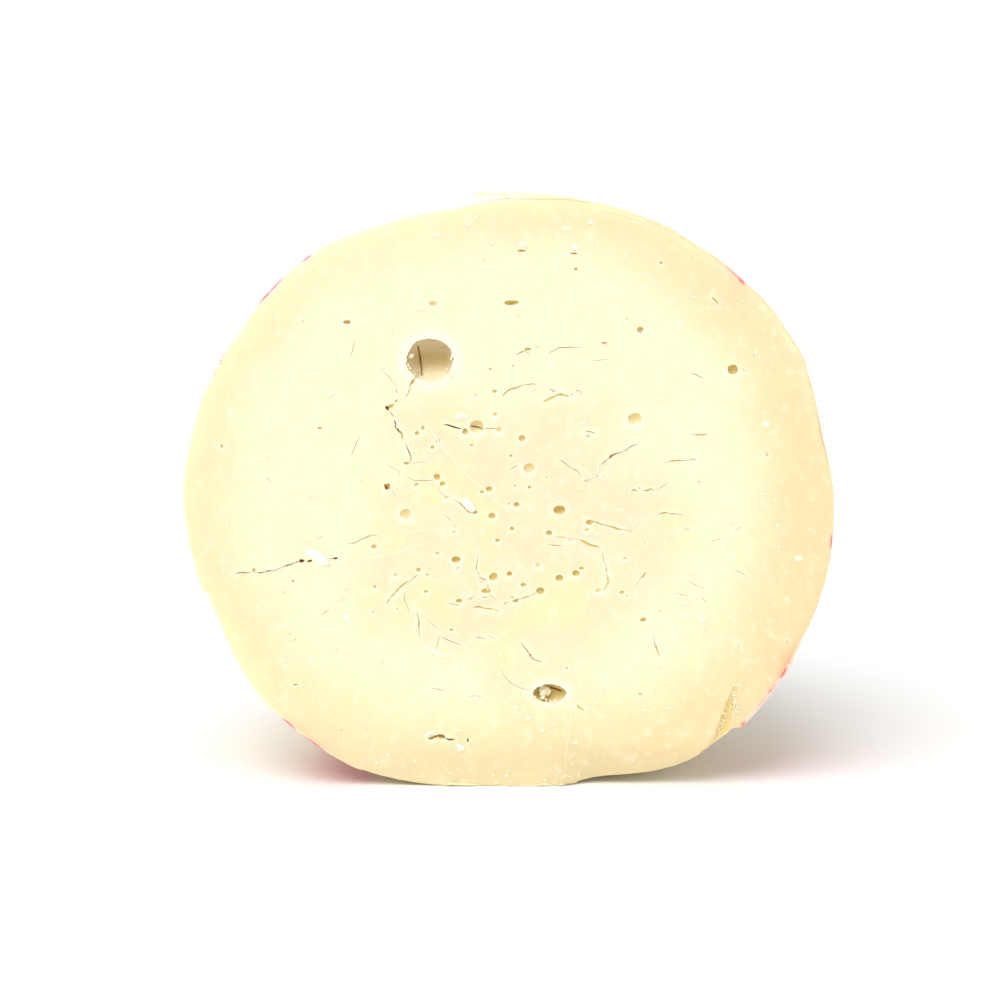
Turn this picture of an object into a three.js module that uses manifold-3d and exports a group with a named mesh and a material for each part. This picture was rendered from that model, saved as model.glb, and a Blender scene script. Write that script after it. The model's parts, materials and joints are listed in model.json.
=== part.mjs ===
// Half of a large hung provolone, cut across the middle and stood on its flattened underside.
// Millimetres, +Z up. The cut face is upright and looks along -Y, the rind closes behind it.
// The origin is the middle of the bottom of the cheese's box, on the surface it stands on.

import * as THREE from 'three';
import { mergeVertices } from 'three/addons/utils/BufferGeometryUtils.js';
import Module from 'manifold-3d';

const wasm = await Module();
wasm.setup();

// ---- Driving dimensions ------------------------------------------------------------------

const DEPTH = 145;              // cut face to the back of the rind
const FACE_Y = -70.9;           // plane of the cut face
const CENTRE_X = 0.4;           // middle of the cut face, across
const CENTRE_Z = 100;           // middle of the cut face, above the board
const RIM_RADII = [             // rim of the cut face every 15 degrees, anticlockwise from +X
  110.4, 109.1, 110.6, 108.8, 107.1, 105.8, 102.7, 102.2,
  105.9, 108.3, 109.3, 110.7, 111.2, 109.5, 109.0, 109.0,
  107.6, 103.7, 104.0, 101.8, 107.6, 110.6, 111.0, 111.3,
];
const UNDERSIDE_RADIUS = RIM_RADII[18];
const FULLNESS = 2.5;           // superellipse power of the side profile: 2 is round, more is fuller
const SETTLE = 1.5;             // height over which the soft underside curves into its flat spot
const BELLY_SAG = 14;           // furthest that the middle line drops towards the back
const EDGE_ROUND = 0.7;         // worn edge between cut face and rind

const ROPE_ANGLES = [12, 98, 200, 311];   // dents that the hanging ropes pressed into the rind
const ROPE_WIDTH = 6;           // degrees
const ROPE_DEPTH = 3.2;         // behind the cut
const RIM_DENT = 0.8;           // at the cut itself
const NAVEL_DEPTH = 5;          // pucker where the ropes meet at the back
const NAVEL_RADIUS = 17;

const SEGMENTS = 90;
const RIND_ROWS = 16;
const FACE_ROWS = 5;
const FACE_WAVE = 0.35;         // unevenness of the cut face

// Eyes in the paste: across, above the board, half width, half height.
const EYES = [
  [-26.9, 148.7, 8.0, 7.3], [13.7, 34.1, 5.6, 3.2], [75.4, 145.4, 1.8, 1.8], [16.9, 97.5, 2.0, 1.6],
  [6.6, 111.8, 1.9, 1.9], [42.5, 128.7, 2.2, 2.2], [-35.5, 96.0, 2.0, 2.0], [-11.2, 126.0, 2.4, 2.4],
  [-15.1, 124.4, 1.1, 1.1], [-3.6, 125.0, 1.1, 1.1], [4.2, 122.1, 1.2, 1.2], [-24.7, 108.9, 1.1, 1.1],
  [-7.0, 104.8, 1.1, 1.1], [-6.0, 95.5, 1.2, 1.2], [2.4, 99.4, 1.0, 1.0], [-18.3, 80.4, 1.6, 1.2],
  [-5.5, 74.5, 1.4, 1.4], [-8.0, 69.5, 1.7, 0.9], [27.3, 93.2, 1.1, 1.1], [9.8, 78.3, 1.2, 1.2],
  [22.8, 75.6, 1.2, 1.2], [17.1, 74.0, 1.3, 1.3], [10.6, 69.5, 1.4, 1.4], [30.4, 69.5, 1.1, 1.1],
  [-41.0, 132.8, 1.4, 1.2], [44.0, 158.9, 1.2, 1.2], [0.8, 168.0, 2.4, 0.9], [-54.8, 161.6, 1.5, 0.7],
  [-24.7, 18.2, 3.8, 1.0], [45.9, 59.4, 1.2, 0.7],
];

// Cracks in the paste: widest opening, then the places it runs through, across and above the board.
const CRACKS = [
  [0.8, [-31.3, 143.7], [-34.0, 138.6], [-38.0, 135.9]],
  [1.0, [-37.4, 135.6], [-41.2, 132.8], [-38.8, 129.0], [-36.5, 122.2], [-33.5, 115.7], [-35.2, 113.7]],
  [1.1, [30.8, 113.0], [36.0, 117.0], [43.6, 120.0], [52.1, 126.0]],
  [1.1, [-95.0, 75.0], [-86.0, 75.8], [-79.0, 77.2], [-71.5, 80.0], [-58.0, 80.6]],
  [1.0, [15.5, 88.6], [24.1, 87.2], [30.9, 84.4], [33.1, 76.5], [33.8, 73.3], [32.1, 69.8]],
  [1.1, [27.5, 94.1], [34.7, 91.7], [42.5, 89.8]],
  [1.1, [-42.7, 66.3], [-38.5, 69.8], [-33.4, 73.3], [-31.0, 76.4]],
  [0.7, [-2.2, 136.2], [0.8, 139.1], [8.9, 140.6]],
  [0.7, [13.0, 151.1], [17.0, 153.0], [23.8, 153.1]],
  [0.7, [41.4, 104.1], [48.5, 104.6], [55.3, 107.8]],
  [0.7, [-35.6, 109.2], [-28.8, 107.5], [-23.0, 107.8]],
  [0.7, [-18.9, 101.3], [-14.8, 98.2], [-11.8, 96.8]],
  [0.8, [-11.1, 82.3], [-11.1, 77.1], [-7.0, 70.5]],
  [0.7, [-3.6, 65.3], [4.0, 66.5], [10.1, 69.1]],
  [0.8, [-32.1, 62.5], [-30.4, 53.1]],
  [0.9, [-12.5, 63.9], [-3.6, 62.5]],
  [0.6, [4.0, 51.3], [6.7, 47.1], [11.6, 44.3]],
];
const CRACK_DEPTH_RATIO = 2.6;  // depth of a crack over its width

// Torn flakes that stand off the cut face: across, above the board, half width, half height, tilt.
const FLAKES = [
  [-14.8, 99.9, 3.2, 1.7, 20], [-67.0, 82.6, 3.4, 1.5, -25], [-16.1, 129.7, 2.6, 0.9, 10],
  [-24.4, 190.7, 2.2, 1.0, 5], [-16.7, 14.6, 2.3, 1.5, 30], [99.0, 80.9, 1.5, 1.2, 0],
  [87.0, 127.0, 1.6, 1.4, 40], [21.9, 186.4, 3.0, 1.7, 0], [4.4, 187.2, 3.4, 1.6, -5],
  [-26.0, 52.6, 3.0, 1.1, -15], [50.6, 28.6, 3.4, 1.5, 0], [16.2, 137.8, 3.6, 1.4, 10],
];
const FLAKE_HEIGHT = 0.8;

// Chip at the lower right, where a rope dent meets the cut: from the rim up along the crease.
const CHIP = { width: 4.6, depth: 7, path: [[66.5, 7.0], [72.0, 19.0], [76.5, 29.0], [78.6, 37.0]] };

// Sliver of rind that has come away along the top of the cut and curls up towards its torn end.
const CURL = { from: -12.4, to: 31, lift: 2.3, thickness: 1.0, back: 12, steps: 12, root: 0.8 };

// ---- Outline and body --------------------------------------------------------------------

const radians = THREE.MathUtils.degToRad;

// Radius of the unsettled rim at an angle in degrees: a closed Catmull-Rom curve through RIM_RADII.
function rimRadius(degrees) {
  const count = RIM_RADII.length;
  const place = THREE.MathUtils.euclideanModulo(degrees, 360) / (360 / count);
  const first = Math.floor(place) % count;
  const u = place - Math.floor(place);
  const [p0, p1, p2, p3] = [-1, 0, 1, 2].map((k) => RIM_RADII[(first + k + count) % count]);
  const slopeIn = (p2 - p0) / 2;
  const slopeOut = (p3 - p1) / 2;
  const rise = p2 - p1;
  return p1 + u * (slopeIn + u * ((3 * rise - 2 * slopeIn - slopeOut) + u * (slopeIn + slopeOut - 2 * rise)));
}

// Height after the soft cheese has settled on the board: nothing goes below 0.
function settled(z) {
  if (z >= SETTLE) return z;
  if (z <= -SETTLE) return 0;
  return (z + SETTLE) ** 2 / (4 * SETTLE);
}

// How far round an angle is from its nearest rope dent, as a bump of height 1.
function ropeBump(degrees) {
  return ROPE_ANGLES.reduce((sum, rope) => {
    const off = THREE.MathUtils.euclideanModulo(degrees - rope + 180, 360) - 180;
    return sum + Math.exp(-((off / ROPE_WIDTH) ** 2));
  }, 0);
}

// A point of the rind: degrees round the cheese, along from 0 at the cut to 1 at the back pole.
function rindPoint(degrees, along) {
  const reach = Math.sin(along * Math.PI / 2) ** (2 / FULLNESS);
  const shrink = Math.max(Math.cos(along * Math.PI / 2), 0) ** (2 / FULLNESS);
  const rope = THREE.MathUtils.lerp(RIM_DENT, ROPE_DEPTH, THREE.MathUtils.smoothstep(along, 0.04, 0.5));
  const radius = (rimRadius(degrees) - rope * ropeBump(degrees)) * shrink;
  const drop = BELLY_SAG * Math.tanh(UNDERSIDE_RADIUS * (1 - shrink) / BELLY_SAG);
  const navel = NAVEL_DEPTH * Math.exp(-((radius / NAVEL_RADIUS) ** 2));
  const x = CENTRE_X + radius * Math.cos(radians(degrees));
  const z = settled(CENTRE_Z - drop + radius * Math.sin(radians(degrees)));
  return new THREE.Vector3(x, FACE_Y + DEPTH * reach - navel, z);
}

// Height of the cut face's slow waves, towards the viewer.
function faceWave(x, z) {
  return FACE_WAVE * Math.sin(x / 17 + 0.6) * Math.cos(z / 23 - x / 61);
}

// A point of the cut face: fraction of the way from its middle out to the rim.
function facePoint(degrees, fraction) {
  const rim = rindPoint(degrees, 0);
  const x = THREE.MathUtils.lerp(CENTRE_X, rim.x, fraction);
  const z = THREE.MathUtils.lerp(CENTRE_Z, rim.z, fraction);
  const fade = 1 - fraction ** 6;
  return new THREE.Vector3(x, FACE_Y - faceWave(x, z) * fade, z);
}

// Closed skin made of rings from the middle of the cut face, over the rim, to the back pole.
function bodyGeometry() {
  const rings = [];
  const ring = (point) => rings.push(Array.from({ length: SEGMENTS }, (_, i) => point(i * 360 / SEGMENTS)));
  const edgeFraction = 1 - EDGE_ROUND / RIM_RADII[0];
  for (let row = 1; row <= FACE_ROWS; row += 1) {
    ring((degrees) => facePoint(degrees, edgeFraction * Math.sqrt(row / FACE_ROWS)));
  }
  ring((degrees) => rindPoint(degrees, 0).add(new THREE.Vector3(0, EDGE_ROUND, 0)));
  for (let row = 1; row < RIND_ROWS; row += 1) {
    ring((degrees) => rindPoint(degrees, row / RIND_ROWS));
  }

  const middle = facePoint(0, 0);
  const pole = rindPoint(0, 1);
  const points = [middle, ...rings.flat(), pole];
  const at = (row, column) => 1 + row * SEGMENTS + column % SEGMENTS;
  const last = points.length - 1;
  const faces = [];
  for (let column = 0; column < SEGMENTS; column += 1) {
    faces.push(0, at(0, column), at(0, column + 1));
    for (let row = 0; row + 1 < rings.length; row += 1) {
      faces.push(at(row, column), at(row + 1, column), at(row + 1, column + 1));
      faces.push(at(row, column), at(row + 1, column + 1), at(row, column + 1));
    }
    faces.push(at(rings.length - 1, column), last, at(rings.length - 1, column + 1));
  }
  return indexedGeometry(points, faces);
}

// ---- Relief ------------------------------------------------------------------------------

// Repeatable rough factor about 1, from the direction of a point on a small form.
function roughness(direction, seed, amount) {
  const wave = Math.sin(direction.x * 5.1 + seed) * Math.cos(direction.z * 6.3 - seed * 1.7);
  return 1 + amount * (wave + 0.5 * Math.sin(direction.y * 9 + direction.x * 7 + seed * 2.3));
}

// Uneven ball, squashed to its three half sizes, turned about Y and set at its place.
function lump(geometry, half, centre, seed, amount, tilt = 0) {
  const position = geometry.attributes.position;
  const point = new THREE.Vector3();
  for (let i = 0; i < position.count; i += 1) {
    point.fromBufferAttribute(position, i).multiplyScalar(roughness(point, seed, amount));
    position.setXYZ(i, point.x, point.y, point.z);
  }
  geometry.scale(half.x, half.y, half.z);
  geometry.rotateY(radians(-tilt));
  geometry.translate(centre.x, centre.y, centre.z);
  return geometry;
}

// One eye, as the ball to cut away. Its middle lies just under the cut face.
function eyeGeometry([x, z, halfWidth, halfHeight], seed) {
  const detail = halfWidth > 5 ? [22, 14] : [9, 6];
  const depth = Math.sqrt(halfWidth * halfHeight);
  const centre = new THREE.Vector3(x, FACE_Y + depth * 0.15, z);
  const half = new THREE.Vector3(halfWidth, depth, halfHeight);
  return lump(new THREE.SphereGeometry(1, ...detail), half, centre, seed, 0.06);
}

// One torn flake, as the low lump to add.
function flakeGeometry([x, z, halfWidth, halfHeight, tilt], seed) {
  const half = new THREE.Vector3(halfWidth, FLAKE_HEIGHT, halfHeight);
  const centre = new THREE.Vector3(x, FACE_Y, z);
  return lump(new THREE.IcosahedronGeometry(1, 1), half, centre, seed, 0.12, tilt);
}

// Wedge that runs along a path on the cut face: open at the face, sharp at its foot. The opening
// at each place comes from widthAt, for the share of the path that lies behind it.
function wedgeGeometry(path, widthAt, depthRatio, proud = 1) {
  const curve = new THREE.CatmullRomCurve3(path.map(([x, z]) => new THREE.Vector3(x, 0, z)));
  const steps = Math.max(3, 2 * (path.length - 1));
  const points = [];
  for (let i = 0; i <= steps; i += 1) {
    const share = i / steps;
    const at = curve.getPoint(share);
    const along = curve.getTangent(share);
    const side = new THREE.Vector3(-along.z, 0, along.x);
    const width = widthAt(share);
    const depth = width * depthRatio;
    const mouth = side.multiplyScalar(width / 2 * (depth + proud) / depth);
    points.push(new THREE.Vector3(at.x + mouth.x, FACE_Y - proud, at.z + mouth.z));
    points.push(new THREE.Vector3(at.x - mouth.x, FACE_Y - proud, at.z - mouth.z));
    points.push(new THREE.Vector3(at.x, FACE_Y + depth, at.z));
  }
  return indexedGeometry(points, prismFaces(points.length / 3, 3));
}

// Faces of a closed prism through equal sections, each of the same number of corners. The corners
// run anticlockwise as seen from the end of the prism.
function prismFaces(sections, corners) {
  const faces = [];
  for (let i = 0; i + 1 < sections; i += 1) {
    for (let j = 0; j < corners; j += 1) {
      const [a, b] = [i * corners + j, i * corners + (j + 1) % corners];
      faces.push(a, b, b + corners, a, b + corners, a + corners);
    }
  }
  const end = (sections - 1) * corners;
  for (let j = 1; j + 1 < corners; j += 1) {
    faces.push(0, j + 1, j, end, end + j, end + j + 1);
  }
  return faces;
}

function crackGeometry([width, ...path]) {
  const widthAt = (share) => width * (0.25 + 0.75 * Math.sin(Math.PI * share) ** 0.8);
  return wedgeGeometry(path, widthAt, CRACK_DEPTH_RATIO);
}

function chipGeometry() {
  const widthAt = (share) => CHIP.width * (1 - 0.85 * share);
  return wedgeGeometry(CHIP.path, widthAt, CHIP.depth / CHIP.width);
}

// Thin shaving of rind over the top of the cut, rooted in the cheese at its +X end.
function curlGeometry() {
  const points = [];
  for (let i = 0; i <= CURL.steps; i += 1) {
    const share = i / CURL.steps;
    const x = THREE.MathUtils.lerp(CURL.from, CURL.to, share);
    const degrees = THREE.MathUtils.radToDeg(Math.atan2(CENTRE_Z, x - CENTRE_X));
    const rim = rindPoint(degrees, 0).z;
    const lift = CURL.lift * (1 - THREE.MathUtils.smoothstep(share, 0, 0.8)) - CURL.root * share;
    const reach = CURL.back * (0.45 + 0.55 * Math.sin(Math.PI * Math.min(1, share + 0.2)));
    const low = rim + lift;
    points.push(new THREE.Vector3(x, FACE_Y + 0.3, low + CURL.thickness));
    points.push(new THREE.Vector3(x, FACE_Y + 0.3, low));
    points.push(new THREE.Vector3(x, FACE_Y + reach, low - 1.1));
    points.push(new THREE.Vector3(x, FACE_Y + reach, low + CURL.thickness - 0.5));
  }
  return indexedGeometry(points, prismFaces(CURL.steps + 1, 4));
}

// ---- Solids ------------------------------------------------------------------------------

function indexedGeometry(points, faces) {
  const geometry = new THREE.BufferGeometry().setFromPoints(points);
  geometry.setIndex(faces);
  return geometry;
}

function toSolid(geometry) {
  geometry.deleteAttribute('normal');
  geometry.deleteAttribute('uv');
  const merged = mergeVertices(geometry, 1e-5);
  const solid = new wasm.Manifold(new wasm.Mesh({
    numProp: 3,
    vertProperties: new Float32Array(merged.attributes.position.array),
    triVerts: new Uint32Array(merged.index.array),
  }));
  if (solid.volume() <= 0) throw new Error('a form is inside out');
  return solid;
}

function toGeometry(solid) {
  const { vertProperties, triVerts, numProp } = solid.getMesh();
  const geometry = new THREE.BufferGeometry();
  geometry.setAttribute('position', new THREE.BufferAttribute(new Float32Array(vertProperties), numProp));
  geometry.setIndex(new THREE.BufferAttribute(new Uint32Array(triVerts), 1));
  geometry.computeVertexNormals();
  return geometry;
}

function provoloneSolid() {
  const raised = [curlGeometry(), ...FLAKES.map(flakeGeometry)];
  const cut = [chipGeometry(), ...EYES.map(eyeGeometry), ...CRACKS.map(crackGeometry)];
  const whole = raised.reduce((cheese, form) => cheese.add(toSolid(form)), toSolid(bodyGeometry()));
  return cut.reduce((cheese, form) => cheese.subtract(toSolid(form)), whole);
}

const paste = new THREE.MeshStandardMaterial({ color: 0xf3e3b4, roughness: 0.6, metalness: 0 });
const provolone = new THREE.Mesh(toGeometry(provoloneSolid()), paste);
provolone.name = 'provolone';

const cheese = new THREE.Group();
cheese.add(provolone);

export default cheese;
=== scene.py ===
"""Looks of half a large hung provolone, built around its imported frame.

The cheese stands on its flattened underside with the cut face upright. The cut face looks along -Y,
+X is to the right and +Z is up. Sizes here are millimetres unless a name says otherwise, and they
become metres only where a mesh is made.
"""

import sys

import json
import logging
import math
from dataclasses import dataclass
from enum import Enum

import bpy
import numpy as np
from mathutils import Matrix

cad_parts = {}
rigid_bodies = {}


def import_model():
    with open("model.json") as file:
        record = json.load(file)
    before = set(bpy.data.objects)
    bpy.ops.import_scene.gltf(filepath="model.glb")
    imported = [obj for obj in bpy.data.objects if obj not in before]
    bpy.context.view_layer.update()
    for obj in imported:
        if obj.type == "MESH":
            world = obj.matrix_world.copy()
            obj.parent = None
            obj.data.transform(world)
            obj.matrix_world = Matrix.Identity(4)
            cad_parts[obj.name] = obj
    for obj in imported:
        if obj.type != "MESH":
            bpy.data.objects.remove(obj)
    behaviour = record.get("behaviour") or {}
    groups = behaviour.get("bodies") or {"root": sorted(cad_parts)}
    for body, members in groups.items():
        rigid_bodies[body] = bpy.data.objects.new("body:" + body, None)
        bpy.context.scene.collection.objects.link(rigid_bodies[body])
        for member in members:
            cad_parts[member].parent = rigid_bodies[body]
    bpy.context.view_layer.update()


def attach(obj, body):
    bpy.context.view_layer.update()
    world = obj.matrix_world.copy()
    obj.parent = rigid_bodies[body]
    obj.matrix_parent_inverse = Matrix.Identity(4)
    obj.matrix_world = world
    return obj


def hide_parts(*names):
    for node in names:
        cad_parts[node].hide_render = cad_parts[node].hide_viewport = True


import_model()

MM = 0.001
NODE = "provolone"
BODY = "root"

Array = np.ndarray
Form = tuple[Array, Array]
Place = tuple[float, float]
Triple = tuple[float, float, float]
Colour = Triple
# Amount, cell size and seed of each noise that is added up.
Layers = tuple[tuple[float, float, int], ...]
Piece = bpy.types.Object
Socket = bpy.types.NodeSocket
Material = bpy.types.Material

# Directions shared by a whole path.
OUT_OF_CUT = np.array([[0.0, -1.0, 0.0]])
INTO_CUT = np.array([[0.0, 1.0, 0.0]])
UPWARD = np.array([[0.0, 0.0, 1.0]])

log = logging.getLogger("provolone")


# ---- Numbers -----------------------------------------------------------------------------


def smooth(value: Array, low: float, high: float) -> Array:
    """Smoothstep: 0 below low, 1 above high, 3t^2 - 2t^3 between, and a fall where high is less."""
    t = np.clip((value - low) / (high - low), 0.0, 1.0)
    return t * t * (3.0 - 2.0 * t)


def bell(value: Array, width: float) -> Array:
    """Bell curve of height 1: exp of minus (value / width) squared."""
    return np.exp(-((value / width) ** 2))


def turned_apart(degrees: Array, other: float) -> Array:
    """Signed angle from other to degrees, from -180 to 180."""
    return np.mod(degrees - other + 180.0, 360.0) - 180.0


def about(degrees: Array, middle: float, half_width: float) -> Array:
    """Bell curve round an angle."""
    return bell(turned_apart(degrees, middle), half_width)


# Large odd numbers that mix the whole numbers of a cell and its seed, and the mask that keeps 32 bits.
CELL_MIX = np.array([73856093, 19349663, 83492791])
SEED_MIX = 2654435761
FIRST_MIX = 0x2C1B3C6D
SECOND_MIX = 0x297A2D39
BITS = 0xFFFFFFFF


def hashed(cells: Array, seed: int) -> Array:
    """Repeatable random numbers for lattice cells, by mixing the bits of their whole numbers.

    Args:
        cells: Whole-numbered places, three to a row.
        seed: Which set of numbers.

    Returns:
        One number from -1 to 1 for each place.
    """
    mixed = (cells.astype(np.int64) @ CELL_MIX + seed * SEED_MIX) & BITS
    mixed = ((mixed ^ (mixed >> 15)) * FIRST_MIX) & BITS
    mixed = ((mixed ^ (mixed >> 12)) * SECOND_MIX) & BITS
    return (mixed ^ (mixed >> 15)) / 2.0**31 - 1.0


def noise(places: Array, size: float, seed: int) -> Array:
    """Smooth noise from -1 to 1: the hashed numbers of a cell's eight corners, blended by smoothstep.

    Args:
        places: Points, three numbers to a row.
        size: Side of a lattice cell.
        seed: Which noise.

    Returns:
        One number for each point.
    """
    place = places / size
    cell = np.floor(place)
    part = place - cell
    blend = part * part * (3.0 - 2.0 * part)
    total = np.zeros(places.shape[:-1])
    for corner in np.ndindex(2, 2, 2):
        weight = np.prod(np.where(np.array(corner) == 1, blend, 1.0 - blend), axis=-1)
        total += weight * hashed(cell + corner, seed)
    return total


def layered(places: Array, layers: Layers, base: Array | float = 0.0, seed: int = 0) -> Array:
    """A base with several noises added to it, each times its own amount.

    Args:
        places: Points, three numbers to a row.
        layers: Amount, cell size and seed of each noise.
        base: What they are added to.
        seed: Added to the seed of each.

    Returns:
        One number for each point.
    """
    total = base
    for amount, size, first_seed in layers:
        total = total + amount * noise(places, size, first_seed + seed)
    return total


def in_plane(x: Array, z: Array, y: float = 0.0) -> Array:
    """Places across and above as points, (n, 3), all with the same y."""
    return np.stack([x, np.full_like(x, y), z], axis=-1)


def flat_noise(x: Array, z: Array, size: float, seed: int) -> Array:
    """The same noise over the plane of the cut."""
    return noise(in_plane(x, z), size, seed)


def away_from_line(x: Array, z: Array, corners: tuple) -> Array:
    """Shortest distance from each place to a line through corners.

    Args:
        x: Places across.
        z: Places above the floor.
        corners: Two or more places (x, z) that the line runs through.

    Returns:
        The distances.
    """
    nearest = np.full(x.shape, np.inf)
    for (x0, z0), (x1, z1) in zip(corners[:-1], corners[1:]):
        run, rise = x1 - x0, z1 - z0
        along = np.clip(((x - x0) * run + (z - z0) * rise) / (run**2 + rise**2), 0.0, 1.0)
        nearest = np.minimum(nearest, np.hypot(x - x0 - along * run, z - z0 - along * rise))
    return nearest


def line_across(z: Array, top_x: float, top_z: float, foot_x: float, foot_z: float) -> Array:
    """Where a straight line from its top to its foot runs, across, at each height z."""
    return top_x + (foot_x - top_x) * (top_z - z) / (top_z - foot_z)


def leftward(places: Array) -> Array:
    """Unit directions to the left of a path, square to the steps between its places.

    Args:
        places: Places of the path in the plane of the cut, (n, 2).

    Returns:
        The directions, (n, 2).
    """
    ahead = np.gradient(places, axis=0)
    ahead /= np.linalg.norm(ahead, axis=1, keepdims=True) + 1e-9
    return np.stack([-ahead[:, 1], ahead[:, 0]], axis=1)


# ---- Meshes ------------------------------------------------------------------------------


def outward(points: Array, triangles: Array) -> Array:
    """Triangles of a closed form, turned so that its signed volume is positive and they face out.

    Args:
        points: Points of the form, (n, 3).
        triangles: Corner numbers, three to a triangle.

    Returns:
        The triangles, all turned round or none.
    """
    a, b, c = ((points - points.mean(axis=0))[triangles[:, k]] for k in range(3))
    volume = np.einsum("ij,ij->", a, np.cross(b, c))
    return triangles if volume > 0 else triangles[:, ::-1]


def joined(forms: list[Form]) -> Form:
    """Several closed forms as one list of points and one of triangles.

    Args:
        forms: Points and triangles of each.

    Returns:
        All points, and all triangles with their corner numbers moved on to match.
    """
    starts = np.cumsum([0] + [len(points) for points, _ in forms[:-1]])
    points = np.concatenate([points for points, _ in forms])
    triangles = np.concatenate([faces + start for (_, faces), start in zip(forms, starts)])
    return points, triangles


def ring_triangles(rows: int, columns: int) -> Array:
    """Triangles of a form made of closed rings between two poles.

    Point 0 is the first pole, then come the rings one after the other, then the last pole.

    Args:
        rows: How many rings.
        columns: Points in each ring.

    Returns:
        Corner numbers, three to a triangle.
    """
    column = np.arange(columns)
    ahead = (column + 1) % columns
    last = rows * columns + 1
    first_cap = np.stack([np.zeros_like(column), 1 + column, 1 + ahead], axis=1)
    low = (1 + np.arange(rows - 1)[:, None] * columns + column).ravel()
    low_ahead = (1 + np.arange(rows - 1)[:, None] * columns + ahead).ravel()
    sides = np.concatenate([
        np.stack([low, low + columns, low_ahead + columns], axis=1),
        np.stack([low, low_ahead + columns, low_ahead], axis=1),
    ])
    end = 1 + (rows - 1) * columns
    last_cap = np.stack([end + column, np.full_like(column, last), end + ahead], axis=1)
    return np.concatenate([first_cap, sides, last_cap])


def ball(rows: int, columns: int) -> Form:
    """Unit ball with its poles on Y: rings of cos and sin, spaced evenly from pole to pole.

    Args:
        rows: Rings between the poles.
        columns: Points in each ring.

    Returns:
        Its points and triangles.
    """
    polar = np.linspace(0.0, np.pi, rows + 2)[1:-1, None]
    turn = np.linspace(0.0, 2.0 * np.pi, columns, endpoint=False)[None, :]
    rings = np.stack([
        np.sin(polar) * np.cos(turn),
        -np.cos(polar) * np.ones_like(turn),
        np.sin(polar) * np.sin(turn),
    ], axis=-1).reshape(-1, 3)
    points = np.concatenate([[[0.0, -1.0, 0.0]], rings, [[0.0, 1.0, 0.0]]])
    return points, ring_triangles(rows, columns)


def swept(centre: Array, side: Array, up: Array, profile: Array) -> Form:
    """Closed form carried along a path: each corner is centre + across * side + height * up.

    Args:
        centre: Points of the path, (n, 3).
        side: Directions across the path, (n, 3), or (1, 3) where they are all alike.
        up: Directions away from what the path lies on, in the same way.
        profile: Across and height of each corner of each section, (n, corners, 2).

    Returns:
        The form, with a fan of triangles over each end.
    """
    sections, corners = profile.shape[:2]
    points = centre[:, None] + profile[..., :1] * side[:, None] + profile[..., 1:] * up[:, None]
    corner = np.arange(corners)
    ahead = (corner + 1) % corners
    low = (np.arange(sections - 1)[:, None] * corners + corner).ravel()
    low_ahead = (np.arange(sections - 1)[:, None] * corners + ahead).ravel()
    fan = np.stack([np.zeros(corners - 2, int), corner[1:-1], corner[2:]], axis=1)
    triangles = np.concatenate([
        np.stack([low, low_ahead, low_ahead + corners], axis=1),
        np.stack([low, low_ahead + corners, low + corners], axis=1),
        fan[:, ::-1],
        fan + (sections - 1) * corners,
    ])
    points = points.reshape(-1, 3)
    return points, outward(points, triangles)


def resampled(corners: Array, step: float) -> tuple[Array, Array]:
    """A line through corners, cut into even steps.

    Args:
        corners: Places in the plane of the cut, (n, 2).
        step: Length of a step.

    Returns:
        The places, and how far along the whole line each is, from 0 to 1.
    """
    lengths = np.concatenate([[0.0], np.cumsum(np.linalg.norm(np.diff(corners, axis=0), axis=1))])
    share = np.linspace(0.0, 1.0, max(4, int(lengths[-1] / step) + 1))
    places = np.stack([np.interp(share * lengths[-1], lengths, corners[:, k]) for k in range(2)], axis=1)
    return places, share


def new_piece(name: str, points: Array, faces: list | Array) -> Piece:
    """A mesh object at the origin, with smooth faces, from points in millimetres.

    Args:
        name: Name of the piece.
        points: Its points, (n, 3).
        faces: Corner numbers of each face.

    Returns:
        The object, in the scene.
    """
    mesh = bpy.data.meshes.new(name)
    mesh.from_pydata((points * MM).tolist(), [], faces if isinstance(faces, list) else faces.tolist())
    mesh.polygons.foreach_set("use_smooth", np.ones(len(mesh.polygons), bool))
    mesh.update()
    piece = bpy.data.objects.new(name, mesh)
    bpy.context.scene.collection.objects.link(piece)
    return piece


def set_values(piece: Piece, name: str, values: Array) -> None:
    """Stores one number for each point of a piece, for its material to read."""
    attribute = piece.data.attributes.new(name, "FLOAT", "POINT")
    attribute.data.foreach_set("value", values.astype(np.float32))


def points_of(piece: Piece) -> Array:
    """Reads the points of a piece, in millimetres.

    Args:
        piece: The mesh object to read.

    Returns:
        Its points, in the order of the mesh.
    """
    flat = np.empty(3 * len(piece.data.vertices), np.float32)
    piece.data.vertices.foreach_get("co", flat)
    return flat.reshape(-1, 3).astype(float) / MM


def settle_in(piece: Piece, material: Material | None = None) -> Piece:
    """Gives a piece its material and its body.

    Args:
        piece: The mesh object.
        material: Its finish, or None for a piece that has its finishes already.

    Returns:
        The same piece.
    """
    if material is not None:
        piece.data.materials.append(material)
    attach(piece, BODY)
    return piece


# ---- Form of the cheese ------------------------------------------------------------------


@dataclass(frozen=True)
class Ledge:
    """A place of the rim where it steps out or in at one angle and fades away to another."""

    edge: float
    tail: float
    rise: float

    def height(self, degrees: Array) -> Array:
        """Steep at the edge, then a smooth fall to nothing at the tail."""
        share = turned_apart(degrees, self.edge) / turned_apart(self.tail, self.edge)
        return self.rise * smooth(share, 0.0, 0.07) * (1.0 - smooth(share, 0.1, 1.0)) * (share <= 1.0)


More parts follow.
